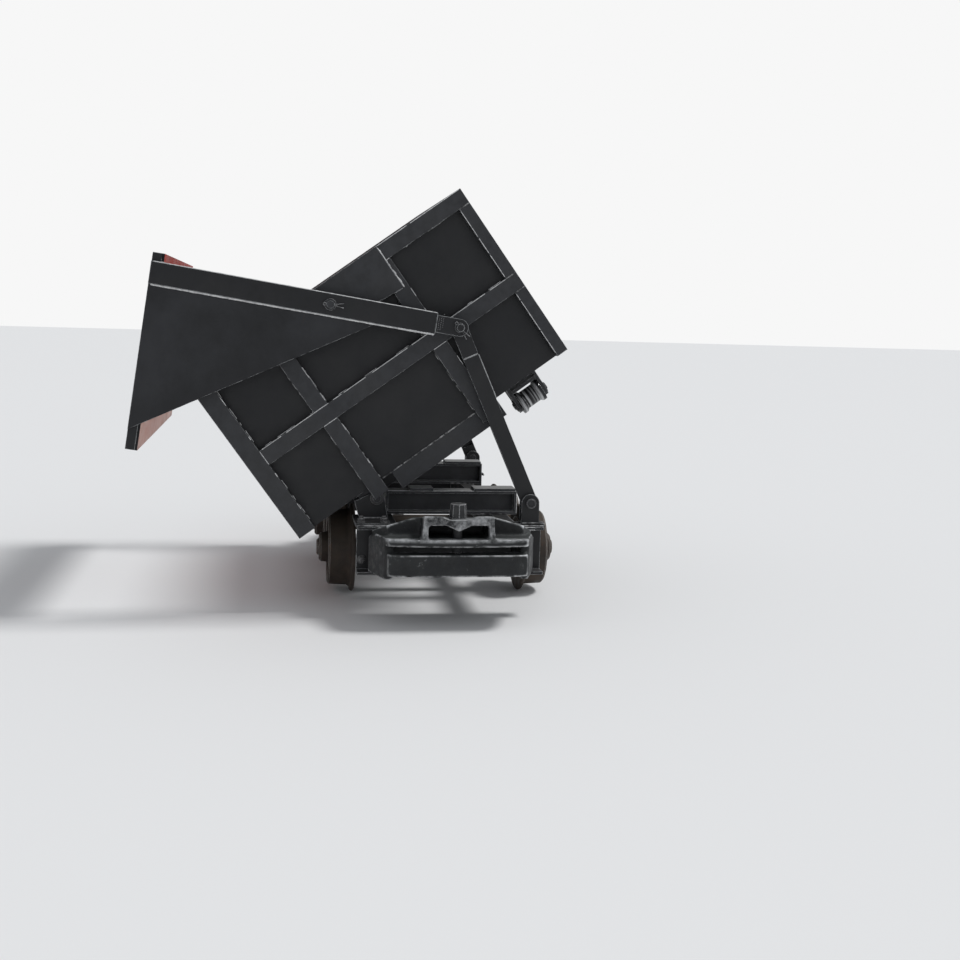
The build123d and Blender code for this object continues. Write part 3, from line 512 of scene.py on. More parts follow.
class GrowTree:
    """A Geometry Nodes tree whose result is kept as a plain mesh."""

    def __init__(self, name: str, **inputs: str) -> None:
        """Starts the tree with its sockets.

        Args:
            name: The tree's name.
            **inputs: The kind of each input beside the geometry.
        """
        tree = bpy.data.node_groups.new(name, "GeometryNodeTree")
        face = tree.interface
        face.new_socket(name="Geometry", in_out="INPUT", socket_type="NodeSocketGeometry")
        self.sockets = {
            label: face.new_socket(name=label, in_out="INPUT", socket_type=f"NodeSocket{kind}").identifier
            for label, kind in inputs.items()
        }
        face.new_socket(name="Geometry", in_out="OUTPUT", socket_type="NodeSocketGeometry")
        self.graph = Graph(tree)
        self.given = self.graph.node("NodeGroupInput").outputs

    def put(self, shape: Node) -> None:
        """Gives a node's geometry the finish and puts it out.

        Args:
            shape: The node, whose first output is the geometry.
        """
        real = self.graph.node("GeometryNodeRealizeInstances", {0: shape})
        dressed = self.graph.node("GeometryNodeSetMaterial", {"Geometry": real, "Material": self.given["Finish"]})
        self.graph.node("NodeGroupOutput", {0: dressed})

    def grow(self, name: str, base: Mesh, **values: object) -> Object:
        """Runs the tree on a mesh and keeps the plain result.

        Args:
            name: The finished object's name.
            base: The mesh that the tree reads.
            **values: The tree's inputs.

        Returns:
            The finished object, with no modifier.
        """
        source = linked(f"{name}_base", base)
        change = source.modifiers.new("grow", "NODES")
        change.node_group = self.graph.tree
        for label, value in values.items():
            change[self.sockets[label]] = value
        mesh = evaluated(source)
        mesh.name = name
        source.modifiers.remove(change)
        bpy.data.objects.remove(source)
        return linked(name, mesh)


class WeldTree(GrowTree):
    """Sweeps a rippled bead along the edges of a mesh."""

    def __init__(self) -> None:
        """Builds the tree."""
        super().__init__("weld_bead", Radius="Float", Pitch="Float", Ripple="Float", Unevenness="Float",
                         Seed="Float", Finish="Material")
        graph, given = self.graph, self.given
        curve = graph.node("GeometryNodeMeshToCurve", {"Mesh": given["Geometry"]})
        even = graph.node("GeometryNodeResampleCurve", {"Curve": curve, "Length": given["Pitch"]}, mode="LENGTH")
        along = graph.node("GeometryNodeSplineParameter").outputs["Length"]
        whole = graph.node("GeometryNodeSplineLength").outputs["Length"]
        wave = graph.math("SINE", graph.math("DIVIDE", along, given["Ripple"]))
        spots = {"Vector": graph.node("GeometryNodeInputPosition"), "W": given["Seed"], "Scale": 90.0}
        blotch = graph.node("ShaderNodeTexNoise", spots, noise_dimensions="4D")
        lumps = graph.times(graph.math("SUBTRACT", blotch.outputs["Fac"], 0.5), 2.0, given["Unevenness"])
        size = graph.math("ADD", graph.math("ADD", 1.0, graph.times(wave, 0.12)), lumps)
        to_end = graph.math("MINIMUM", graph.math("SUBTRACT", whole, along), along)
        taper = graph.node("ShaderNodeClamp", {"Value": graph.math("DIVIDE", to_end, given["Radius"]), "Min": 0.35})
        scale = graph.times(size, taper.outputs[0])
        thick = graph.node("GeometryNodeSetCurveRadius", {"Curve": even, "Radius": scale})
        section = graph.node("GeometryNodeCurvePrimitiveCircle", {"Resolution": 7, "Radius": given["Radius"]})
        sweep = graph.node("GeometryNodeCurveToMesh", {"Fill Caps": True, "Curve": thick, "Profile Curve": section})
        if "Scale" in sweep.inputs:
            graph.wire(sweep.inputs["Scale"], scale)
        self.put(graph.node("GeometryNodeSetShadeSmooth", {"Geometry": sweep}))


class ScatterTree(GrowTree):
    """Sets a fastener on each point, turned to the point's facing."""

    def __init__(self) -> None:
        """Builds the tree."""
        super().__init__("fasteners", Shape="Object", Size="Float", Seed="Int", Finish="Material")
        graph, given = self.graph, self.given
        shape = graph.node("GeometryNodeObjectInfo", {"Object": given["Shape"]}).outputs["Geometry"]
        facing = graph.node("GeometryNodeInputNamedAttribute", {"Name": "facing"}, data_type="FLOAT_VECTOR")
        aim = graph.node("FunctionNodeAlignRotationToVector", {"Vector": facing.outputs["Attribute"]}, axis="Z")
        turn = graph.node("FunctionNodeRandomValue", data_type="FLOAT")
        for socket in turn.inputs:
            if socket.enabled and socket.name == "Max":
                socket.default_value = math.tau
            if socket.enabled and socket.name == "Seed":
                graph.wire(socket, given["Seed"])
        angle = next(socket for socket in turn.outputs if socket.enabled)
        spin = graph.node("FunctionNodeAxisAngleToRotation", {"Axis": (0.0, 0.0, 1.0), "Angle": angle})
        whole = graph.node("FunctionNodeRotateRotation", {"Rotation": aim, "Rotate By": spin}, rotation_space="LOCAL")
        self.put(graph.node("GeometryNodeInstanceOnPoints", {
            "Points": given["Geometry"], "Instance": shape, "Rotation": whole, "Scale": given["Size"],
        }))


def linked(name: str, data: bpy.types.ID) -> Object:
    """Makes an object of a mesh, light or camera and links it to the scene.

    Args:
        name: The object's name.
        data: Its mesh, light or camera.

    Returns:
        The linked object.
    """
    made = bpy.data.objects.new(name, data)
    bpy.context.scene.collection.objects.link(made)
    return made


def evaluated(source: Object) -> Mesh:
    """Gives an object's mesh as its modifiers leave it."""
    bpy.context.view_layer.update()
    return bpy.data.meshes.new_from_object(source.evaluated_get(bpy.context.evaluated_depsgraph_get()))


def cleaned(shape: BMesh, name: str) -> Mesh:
    """Closes a bmesh's seams, turns its faces outwards and frees it into a new mesh.

    Args:
        shape: The bmesh, which is freed here.
        name: The new mesh's name.

    Returns:
        The new mesh.
    """
    bmesh.ops.remove_doubles(shape, verts=shape.verts, dist=1e-6)
    bmesh.ops.recalc_face_normals(shape, faces=shape.faces)
    mesh = bpy.data.meshes.new(name)
    shape.to_mesh(mesh)
    shape.free()
    return mesh


def spoke(across: Vector, other: Vector, angle: float) -> Vector:
    """Gives the direction at an angle from one vector towards another."""
    return across * math.cos(angle) + other * math.sin(angle)


def lathe(shape: BMesh, centre: Vector, axis: Vector, profile: Profile, sides: int) -> None:
    """Turns a closed profile about an axis, into a bmesh.

    Args:
        shape: Where it goes.
        centre: A point of the axis.
        axis: The axis's direction.
        profile: Places along the axis and radii, in millimetres, round the closed section.
        sides: Facets round the axis.
    """
    across = axis.orthogonal().normalized()
    other = axis.cross(across)
    rings = []
    for step in range(sides):
        out = spoke(across, other, math.tau * step / sides)
        rings.append([shape.verts.new(centre + (axis * a + out * r) * MM) for a, r in profile])
    for here, there in zip(rings, rings[1:] + rings[:1]):
        for i, (_, radius) in enumerate(profile):
            j = (i + 1) % len(profile)
            if radius and profile[j][1]:
                shape.faces.new([here[i], here[j], there[j], there[i]])
            elif radius:
                shape.faces.new([here[i], here[j], there[i]])
            elif profile[j][1]:
                shape.faces.new([here[i], here[j], there[j]])


def washer(shape: BMesh, centre: Vector, axis: Vector, bore: float, rim: float, low: float,
           high: float, sides: int = 28) -> None:
    """Turns a washer into a bmesh.

    Args:
        shape: Where it goes.
        centre: The pin's middle on the face that it lies on.
        axis: Outwards along the pin.
        bore: Its hole's radius in millimetres.
        rim: Its outer radius.
        low: Height of its lower face over the centre.
        high: Height of its upper face.
        sides: Facets round the axis.
    """
    profile = ((low, bore), (low, rim), (high - 0.6, rim), (high, rim - 0.8), (high, bore))
    lathe(shape, centre, axis, profile, sides)


def rod(shape: BMesh, route: Path, radius: float, sides: int) -> None:
    """Sweeps a round rod along a route, into a bmesh.

    Args:
        shape: Where it goes.
        route: Its points.
        radius: The rod's radius in millimetres.
        sides: Facets round it.
    """
    rings = []
    last = None
    for i, point in enumerate(route):
        before, after = route[max(i - 1, 0)], route[min(i + 1, len(route) - 1)]
        along = (after - before).normalized()
        last = (last - along * last.dot(along)).normalized() if last else along.orthogonal().normalized()
        other = along.cross(last)
        rings.append([
            shape.verts.new(point + spoke(last, other, math.tau * k / sides) * radius * MM) for k in range(sides)
        ])
    for here, there in zip(rings, rings[1:]):
        for k in range(sides):
            shape.faces.new([here[k], here[(k + 1) % sides], there[(k + 1) % sides], there[k]])
    shape.faces.new(list(reversed(rings[0])))
    shape.faces.new(rings[-1])


def ring(centre: Vector, radius: float, share: float = 1.0, start: float = 0.0, steps: int = 28) -> Path:
    """Gives a round seam about the track's direction.

    Args:
        centre: Its middle.
        radius: Its radius in millimetres.
        share: How much of the whole turn.
        start: Where it begins, as a share of a turn.
        steps: Its points.

    Returns:
        The route.
    """
    across = ALONG.orthogonal().normalized()
    other = ALONG.cross(across)
    turns = (math.tau * (start + share * i / steps) for i in range(steps + 1))
    return [centre + spoke(across, other, turn) * radius * MM for turn in turns]


@dataclass(frozen=True)
class Fastener:
    """A hexagonal head on a washer, facing +Z, in millimetres.

    Attributes:
        name: The shape's name.
        head: The head's height.
        round: The washer's diameter.
        shank: How far the thread stands out of the head.
        flats: Width of the head.
        base: The washer's thickness.
        thread: The thread's radius.
    """

    name: str
    head: float
    round: float
    shank: float
    flats: float = 24.0
    base: float = 3.0
    thread: float = 8.0

    def build(self, paint: Material) -> Object:
        """Builds the shape, which isn't linked to the scene.

        Args:
            paint: Its first finish.

        Returns:
            The shape.
        """
        shape = bmesh.new()
        rim, corner = self.round / 2, self.flats / math.sqrt(3.0)
        base, top, end = self.base, self.base + self.head, self.base + self.head + self.shank
        plate = ((-1.0, 5.0), (0.0, rim), (base - 0.4, rim), (base, rim - 0.6), (base, 5.0))
        lathe(shape, Vector(), UP, plate, 24)
        flat = self.flats / 2 - 0.6
        lathe(shape, Vector(), UP, ((base, 0.0), (base, corner), (top - 1.8, corner), (top, flat), (top, 0.0)), 6)
        if self.shank:
            foot, thread, tip = top - 1, self.thread, self.thread - 1.2
            stub = ((foot, 0.0), (foot, thread), (end - 1.2, thread), (end, tip), (end, 0.0))
            lathe(shape, Vector(), UP, stub, 16)
        mesh = cleaned(shape, self.name)
        mesh.materials.append(paint)
        return bpy.data.objects.new(self.name, mesh)


class Workshop:
    """What every sub-assembly uses: finishes, fastener shapes and the two Geometry Nodes trees."""

    def __init__(self) -> None:
        """Builds them all."""
        groups = Groups()
        self.paints = {finish.name: finish.build(groups) for finish in FINISHES}
        self.welds, self.scatter = WeldTree(), ScatterTree()
        self.shapes = {kind.name: kind.build(self.paints["bolt"]) for kind in FASTENERS}

    def dress(self, nodes: Nodes) -> None:
        """Gives CAD nodes their finishes.

        Args:
            nodes: Nodes by finish; a name that ends in an underscore stands for one node at each end.
        """
        for paint, names in nodes.items():
            for name in names:
                for node in [name + end.word for end in End] if name.endswith("_") else [name]:
                    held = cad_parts[node]
                    if not held.material_slots:
                        held.data.materials.append(None)
                    for slot in held.material_slots:
                        slot.material = self.paints[paint]

    def bead(self, name: str, body: str, paths: Iterable[Path], radius: float, paint: str = "weld") -> None:
        """Lays weld beads along routes and hangs them on a body; the same beads also draw thin lines of painted
        highlight along lit edges.

        Args:
            name: The piece's name.
            body: The body that carries it.
            paths: The beads' routes.
            radius: The bead's radius in millimetres.
            paint: Its finish.
        """
        base = bpy.data.meshes.new(name)
        points: list[Vector] = []
        edges: list[tuple[int, int]] = []
        for route in paths:
            start = len(points)
            points.extend(route)
            edges.extend((start + i, start + i + 1) for i in range(len(route) - 1))
        base.from_pydata(points, edges, [])
        made = self.welds.grow(name, base, Radius=radius * MM, Pitch=radius * 0.9 * MM, Ripple=radius * 0.38 * MM,
                               Unevenness=0.5, Seed=float(len(name)), Finish=self.paints[paint])
        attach(made, body)
        log.info("%s: %d faces", name, len(made.data.polygons))

    def bolts(self, name: str, body: str, spots: Sequence[tuple[Vector, Vector]], shape: str, size: float) -> None:
        """Sets a fastener on each spot and hangs them on a body.

        Args:
            name: The piece's name.
            body: The body that carries it.
            spots: Places and the directions that the fasteners' heads face.
            shape: Which fastener.
            size: Its scale.
        """
        base = bpy.data.meshes.new(name)
        base.from_pydata([spot for spot, _ in spots], [], [])
        for item, (_, way) in zip(base.attributes.new("facing", "FLOAT_VECTOR", "POINT").data, spots):
            item.vector = way
        made = self.scatter.grow(name, base, Shape=self.shapes[shape], Size=size, Seed=len(name),
                                 Finish=self.paints["bolt"])
        self.hung(made, body)

    def steel(self, name: str, body: str, shape: BMesh, paint: str = "bolt") -> None:
        """Makes a steel piece of a bmesh and hangs it on a body.

        Args:
            name: The piece's name.
            body: The body that carries it.
            shape: The bmesh, which is freed.
            paint: Its finish.
        """
        mesh = cleaned(shape, name)
        mesh.materials.append(self.paints[paint])
        self.hung(linked(name, mesh), body)

    @staticmethod
    def hung(made: Object, body: str) -> None:
        """Hangs a piece of turned steel on a body.

        Args:
            made: The finished piece.
            body: The body that it rides on.
        """
        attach(made, body)
        log.info("%s: %d faces", made.name, len(made.data.polygons))


@dataclass
class LoadBox:
    """The tipping box: its walls, end frames, side frame, underframe, welds and roller, in millimetres."""

    shop: Workshop
    half: float = 550.0
    left: float = -490.0
    right: float = 504.0
    bottom: float = 398.0
    top: float = 1000.0
    proud: float = 30.0
    rib: float = 52.0
    rail_z: float = 665.0
    corner: float = 58.0
    edge: float = 38.0
    post_y: tuple[float, float] = (-204.0, 209.0)
    side_posts: tuple[float, float] = (-180.0, 180.0)
    stringers: tuple[float, float] = (-69.0, 174.0)
    stringer_half: float = 25.5
    stringer_z: float = 373.0
    bearer_x: float = 290.0
    knuckles: tuple[float, float] = (481.5, 526.5)
    fork_plates: tuple[float, ...] = (359.0, 471.0, 371.0, 483.5)
    roller: tuple[float, float] = (421.5, 246.5)
    roller_half: float = 62.0

    def end_welds(self, end: End) -> None:
        """Lays the beads that hold an end frame to its wall and its bars together, and thin bright lines along its
        edges, partly worn paint and partly painted highlight.

        Args:
            end: Which end of the cart.
        """
        way, wall, face = end.value, self.half + 1.0, self.half + self.proud
        corner, edge, half = self.left + self.corner, self.right + self.proud - self.edge, self.rib / 2
        rails = (self.rail_z - half, self.rail_z + half, self.top - self.rib)
        low, high = self.bottom + 6, self.top - self.rib
        lefts, rights = [mid - half for mid in self.post_y], [corner, *(mid + half for mid in self.post_y)]
        seams: list[Path] = []
        upper: list[Path] = []
        for k, y in enumerate(lefts):
            seams += BOX.stitched(((wall, y, low), (wall, y, high)), 20 + k, 46, 52, way)
        for k, y in enumerate(rights):
            upper += BOX.stitched(((wall, y, low), (wall, y, high)), 30 + k, 46, 60, way)
        for k, (z, found) in enumerate(zip(rails, (seams, upper, seams))):
            found += BOX.stitched(((wall, corner, z), (wall, edge, z)), 40 + k, 70, 90, way)
        self.shop.bead(f"end_frame_upper_welds_{end.word}", "box", upper, 2.0, "weld_bright")
        seams += BOX.stitched(((wall, rights[1], self.bottom), (wall, lefts[1], self.bottom)), 50, 90, 12, way)
        # Thin bright lines along the bars' front and top edges, at these depths: partly worn paint, partly painted
        # highlight where light from above catches them.
        front, worn = face - 0.4, face - 0.7
        joins = [((front, corner, foot + 2), (front, corner, head - 2))
                 for foot, head in ((rails[0], rails[1]), (rails[2], self.top - 3))]
        joins += [((front, mid - half + 2, z), (front, mid + half - 2, z)) for mid in self.post_y for z in rails]
        bright = BOX.lines(*joins, way=way)
        rubbed_and_lit_edges = []
        for k, y in enumerate(rights):
            head = high if y < self.post_y[1] else self.top - 162
            rubbed_and_lit_edges += [(y - 0.5, low, y - 0.5, rails[0] - 4, 110 + k, 44, 120),
                     (y - 0.5, rails[1] + 4, y - 0.5, head, 120 + k, 44, 120)]
        rubbed_and_lit_edges += [(corner, rails[1] - 0.5, edge, rails[1] - 0.5, 130, 190, 24),
                 (edge + 0.5, low + 4, edge + 0.5, rails[0] - 4, 60, 130, 9),
                 (edge + 0.5, rails[1] + 4, edge + 0.5, rails[2] - 4, 61, 130, 9),
                 (self.left + 4, self.top - 1, self.right + self.proud - 3, self.top - 1, 140, 420, 16)]
        for y0, z0, y1, z1, seed, longest, widest in rubbed_and_lit_edges:
            bright += BOX.stitched(((worn, y0, z0), (worn, y1, z1)), seed, longest, widest, way)
        self.shop.bead(f"end_frame_worn_edges_{end.word}", "box", bright, 1.3, "weld_bright")
        outer = self.right + self.proud - 2
        seams += BOX.lines(*(((face, edge - 2, z), (face, outer, z)) for z in rails), way=way)
        self.shop.bead(f"end_frame_welds_{end.word}", "box", seams, 2.3, "weld_trace")

    def pivot_welds(self, end: End) -> None:
        """Lays the beads round a door pivot's plate and boss.

        Args:
            end: Which end of the cart.
        """
        way, face = end.value, self.half + self.proud + 1
        seams = BOX.lines(
            ((face, 216.0, 850.0), (face, 183.0, 851.5)),
            ((face, 153.0, 854.0), (face, 60.0, 872.0), (face, -74.0, 900.0)), way=way,
        )
        seams.append(ring(BOX.at(way * (face + 7.0), *DOOR_PIVOT), 29.5))
        self.shop.bead(f"door_pivot_welds_{end.word}", "box", seams, 2.6)
        drawn = random.Random(7)
        rough = [(face, 218.5 + drawn.uniform(-2.2, 2.2), self.top - 5 - 7.25 * step) for step in range(21)]
        self.shop.bead(f"door_pivot_edge_weld_{end.word}", "box", BOX.lines(rough, way=way), 4.4, "weld_bright")

    def side_welds(self) -> None:
        """Lays the beads of the side frame and the box's long seams."""
        out, face = self.right + 1.0, self.right + self.proud
        seams: list[Path] = []
        half = self.rib / 2
        rails = (self.rail_z - half, self.rail_z + half, self.top - self.rib, self.bottom + self.rib)
        for k, x in enumerate(self.side_posts):
            for side in SIDES:
                place = x + side * self.edge / 2
                seams += BOX.stitched(((place, out, rails[3]), (place, out, rails[2])), 60 + 2 * k + side, 46, 60)
                seams += BOX.lines(*(((place, face, z - 14), (place, face, z + 14)) for z in rails))
        for k, z in enumerate(rails):
            seams += BOX.stitched(((-500, out, z), (500, out, z)), 70 + k, 60, 90)
        inner, back, foot = self.half - 9.0, self.right - 9, self.bottom + 9
        for x in (-inner, inner):
            seams += BOX.lines(((x, self.left + 4, foot), (x, back - 1, foot)),
                               ((x, back, foot + 3), (x, back, self.top - 4)))
        seams += BOX.lines(((-inner, back, foot), (inner, back, foot)))
        self.shop.bead("box_seam_welds", "box", seams, 2.6, "weld_trace")

    def under_welds(self) -> None:
        """Lays the beads that hold the stringers, bearers, knuckles and fork under the floor."""
        seams: list[Path] = []
        below, low, reach = self.bottom - 1, self.bottom - 1.5, self.stringer_half - 1.5
        for y in (mid + side * self.stringer_half for mid in self.stringers for side in SIDES):
            seams += BOX.stitched(((-500, y, below), (500, y, below)), int(y), 60, 90)
        for way in SIDES:
            for x in (way * self.bearer_x + side * self.stringer_half for side in SIDES):
                seams += BOX.lines(*(((x, mid - reach, self.stringer_z), (x, mid + reach, self.stringer_z))
                                     for mid in self.stringers))
            seams += BOX.lines(*(((x, -272.0, low), (x, -178.0, low)) for x in self.knuckles), way=way)
        seams += BOX.lines(*(((-44, y, low), (44, y, low)) for y in self.fork_plates))
        self.shop.bead("underframe_welds", "box", seams, 3.0, "weld_trace")

    def build(self) -> None:
        """Builds and dresses the whole box."""
        self.shop.dress({
            "floor": ("box_floor",), "side_wall": ("box_side_wall",), "end_wall": ("end_wall_",),
            "roller": ("tipping_roller",),
            "paint_box": ("roller_fork", "side_frame", "stringer_middle", "stringer_right", "end_frame_", "end_beam_",
                          "bearer_", "hinge_knuckle_", "door_pivot_"),
        })
        for end in End:
            self.end_welds(end)
            self.pivot_welds(end)
        self.side_welds()
        self.under_welds()
        shape = bmesh.new()
        for way in SIDES:
            centre = BOX.at(0, self.roller[0] + way * self.roller_half, self.roller[1])
            washer(shape, centre, BOX.way(way, 0), 13.4, 23, 0.2, 3.6)
        self.shop.steel("roller_pin_washers", "box", shape)


@dataclass
class Door:
    """The side door with its frame, arms and wings, in millimetres."""

    shop: Workshop
    half: float = 620.0
    face: float = -506.0
    outer: float = -534.0
    foot: float = 414.0
    height: float = 590.0
    rib: float = 52.0
    arm_x: float = 632.0

    def frame_welds(self) -> None:
        """Lays the beads of the door's outer frame."""
        seams: list[Path] = []
        wall, front, half = self.face - 1, self.outer + 2.6, self.rib / 2
        rails = (self.foot, self.foot + (self.height - self.rib) / 2, self.foot + self.height - self.rib)
        for k, z in enumerate((rails[0] + self.rib, rails[1], rails[1] + self.rib, rails[2])):
            seams += DOOR.stitched(((-560, wall, z), (560, wall, z)), 80 + k, 60, 80)
        sides = [x + side * half for x in (half - self.half, -180.0, 180.0, self.half - half) for side in SIDES]
        for k, x in enumerate(sides[1:-1], 91):
            seams += DOOR.stitched(((x, wall, self.foot + self.rib), (x, wall, rails[2])), k, 50, 60)
            seams += DOOR.lines(*(((x, front, low + 3), (x, front, low + self.rib - 3)) for low in rails))
        self.shop.bead("door_frame_welds", "door", seams, 2.4, "weld_trace")

    def arm_welds(self, end: End) -> None:
        """Lays the beads of an arm: along its wing, at the door and round its eye plate.

        Args:
            end: Which end of the cart.
        """
        way, eye, top = end.value, self.arm_x, self.arm_x + 1.4
        wing = ((eye - 2.5, self.outer + 6, 909.2), (eye - 2.5, 86.0, 899.4), (eye - 0.5, 326.0, 895.6))
        self.shop.bead(f"door_wing_weld_{end.word}", "door", DOOR.lines(wing, way=way), 3.7, "weld_bright")
        # A thin bright line along the arm's top edge: partly worn paint, partly painted highlight.
        worn = ((top, self.outer + 5, 977.2), (top, 326.0, 962.2))
        self.shop.bead(f"door_arm_worn_edge_{end.word}", "door", DOOR.lines(worn, way=way), 1.4, "weld_bright")
        dots = [((eye, row, low + 5.6 * step), (eye, row + 1.0, low + 5.6 * step + 1.2))
                for row, low in ((334.5, 907.0), (341.0, 912.0), (347.5, 921.0)) for step in range(8)]
        dots += [((620.5, -496.0, z), (620.5, -508.0, z)) for z in (906.0, 978.0)]
        self.shop.bead(f"door_arm_welds_{end.word}", "door", DOOR.lines(*dots, way=way), 2.2)

    def build(self) -> None:
        """Builds and dresses the whole door."""
        self.shop.dress({"door": ("door_panel",), "paint_door": ("door_frame", "door_wing_"),
                         "paint_arm": ("door_arm_",)})
        self.frame_welds()
        for end in End:
            self.arm_welds(end)


@dataclass
class PinLock:
    """A washer and a splayed cotter on the end of a pin.

    Attributes:
        name: The piece's name.
        body: The body that carries it.
        centre: The pin's middle on the face that the washer lies on.
        turn: Where the cotter's legs point, in degrees from up, towards +Y.
        rim: The washer's radius in millimetres.
        cotter: Whether there is a cotter.
        pin: The pin's radius in millimetres.
    """

    name: str
    body: str
    centre: Vector
    turn: float
    rim: float
    cotter: bool
    pin: float = 12.0

    def build(self, shop: Workshop, end: End) -> None:
        """Builds the washer and the cotter.

        Args:
            shop: What every sub-assembly uses.
            end: Which end of the cart.
        """
        shape = bmesh.new()
        washer(shape, self.centre, end.out, self.pin + 0.3, self.rim, 0.1, 3.4, 36)
        along = Vector((0, math.sin(math.radians(self.turn)), math.cos(math.radians(self.turn))))
        side = end.out.cross(along)
        middle = self.centre + end.out * 7.2 * MM
        width = 2 * self.pin
        route = ((-10, 0.6), (-7, 4.2), (-3, 3.2), (0, 1.5), (width, 1.5), (width + 8, 2.6), (width + 28, 7.0))
        for sign in SIDES if self.cotter else ():
            legs = [middle + along * (reach - self.pin) * MM + side * sign * apart * MM for reach, apart in route]
            rod(shape, legs, 1.6, 8)
        shop.steel(f"{self.name}_{end.word}", self.body, shape, "pin")


@dataclass
class Linkage:
    """The links that swing the door, and the locks on every pin of the linkage, in millimetres."""

    shop: Workshop
    face: float = 614.0
    head: float = 86.0
    width: float = 50.0
    pivot_x: float = 634.3
    eye_x: float = 632.0
    foot_x: float = 636.0

    def build(self) -> None:
        """Builds and dresses the links."""
        self.shop.dress({"paint_link": ("link_",)})
        eye = (DOOR_PIVOT[0] + EYE_REACH * math.cos(EYE_DROP), DOOR_PIVOT[1] - EYE_REACH * math.sin(EYE_DROP))
        face, half, high = self.face, self.width / 2, LINK_LEN - self.head - 10
        for end in End:
            way = end.value
            for lock in (
                PinLock("door_pivot_lock", "box", DOOR.at(way * self.pivot_x, *DOOR_PIVOT), 95.0, 18.0, True),
                PinLock("eye_lock", "door", DOOR.at(way * self.eye_x, *eye), 140.0, 15.5, True),
                PinLock("link_foot_lock", "frame", GROUND.at(way * self.foot_x, *LINK_FOOT), 200.0, 15.5, False),
            ):
                lock.build(self.shop, end)
            seams = LINK.lines(((face, 1 - half, high), (face, half - 1, high)),
                               ((face - 3, half, high - 2), (face - 3, half, high - 150)), way=way)
            seams.append(ring(LINK.at(way * face, 0, 0), 24.0, 0.45, 0.5))
            self.shop.bead(f"link_welds_{end.word}", f"link_{end.word}", seams, 2.8)


@dataclass
class Casting:
    """A cast piece with soft edges and a rough skin, in place of its sharp CAD node.

    Attributes:
        shop: What every sub-assembly uses.
        voxel: Grid of the skin in metres.
        rounds: Passes that soften the edges.
        lumps: Height of the skin's unevenness in metres.
    """

    shop: Workshop
    voxel: float = 0.0042
    rounds: int = 3
    lumps: float = 0.0011

    def skin(self, node: str) -> Mesh:
        """Wraps a CAD node's shape in an even grid and softens its edges.

        Args:
            node: The node's name.

        Returns:
            The new mesh.
        """
        shape = bmesh.new()
        shape.from_mesh(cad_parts[node].data)
        held = linked(f"{node}_sharp", cleaned(shape, f"{node}_sharp"))
        grid = held.modifiers.new("grid", "REMESH")
        grid.mode = "VOXEL"
        grid.voxel_size = self.voxel
        soft = held.modifiers.new("soft", "SMOOTH")
        soft.iterations = self.rounds
        soft.factor = 0.5
        made = evaluated(held)
        held.modifiers.clear()
        bpy.data.objects.remove(held)
        return made

    def roughen(self, mesh: Mesh) -> None:
        """Lifts the skin into low lumps and stores where its ridges are.

        Args:
            mesh: The mesh to change.
        """
        shape = bmesh.new()
        shape.from_mesh(mesh)
        shape.normal_update()
        near = {point.index: [edge.other_vert(point) for edge in point.link_edges] for point in shape.verts}
        ridge = {
            point.index: sum(point.normal.dot((point.co - other.co).normalized()) for other in near[point.index])
            / max(len(near[point.index]), 1)
            for point in shape.verts
        }
        for _ in range(3):
            ridge = {i: (ridge[i] + sum(ridge[other.index] for other in near[i])) / (1 + len(near[i])) for i in ridge}
        for point in shape.verts:
            height = noise.fractal(point.co * 38.0, 0.6, 2.0, 4) + 0.35 * noise.noise(point.co * 170.0)
            point.co -= point.normal * self.lumps * (0.6 + 0.4 * height)
        for side in shape.faces:
            side.smooth = True
        shape.to_mesh(mesh)
        shape.free()
        stored = mesh.attributes.new("ridge", "FLOAT", "POINT")
        stored.data.foreach_set("value", [max(0.0, ridge[i] * 2.0) for i in range(len(mesh.vertices))])

    def build(self, node: str, body: str) -> None:
        """Builds the cast piece and puts it in the node's place.

        Args:
            node: The CAD node that it stands for.
            body: The body that carries it.
        """
        mesh = self.skin(node)
        self.roughen(mesh)
        mesh.materials.clear()
        mesh.materials.append(self.shop.paints["casting"])
        made = linked(f"{node}_casting", mesh)
        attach(made, body)
        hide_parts(node)
        log.info("%s: %d faces", made.name, len(mesh.polygons))


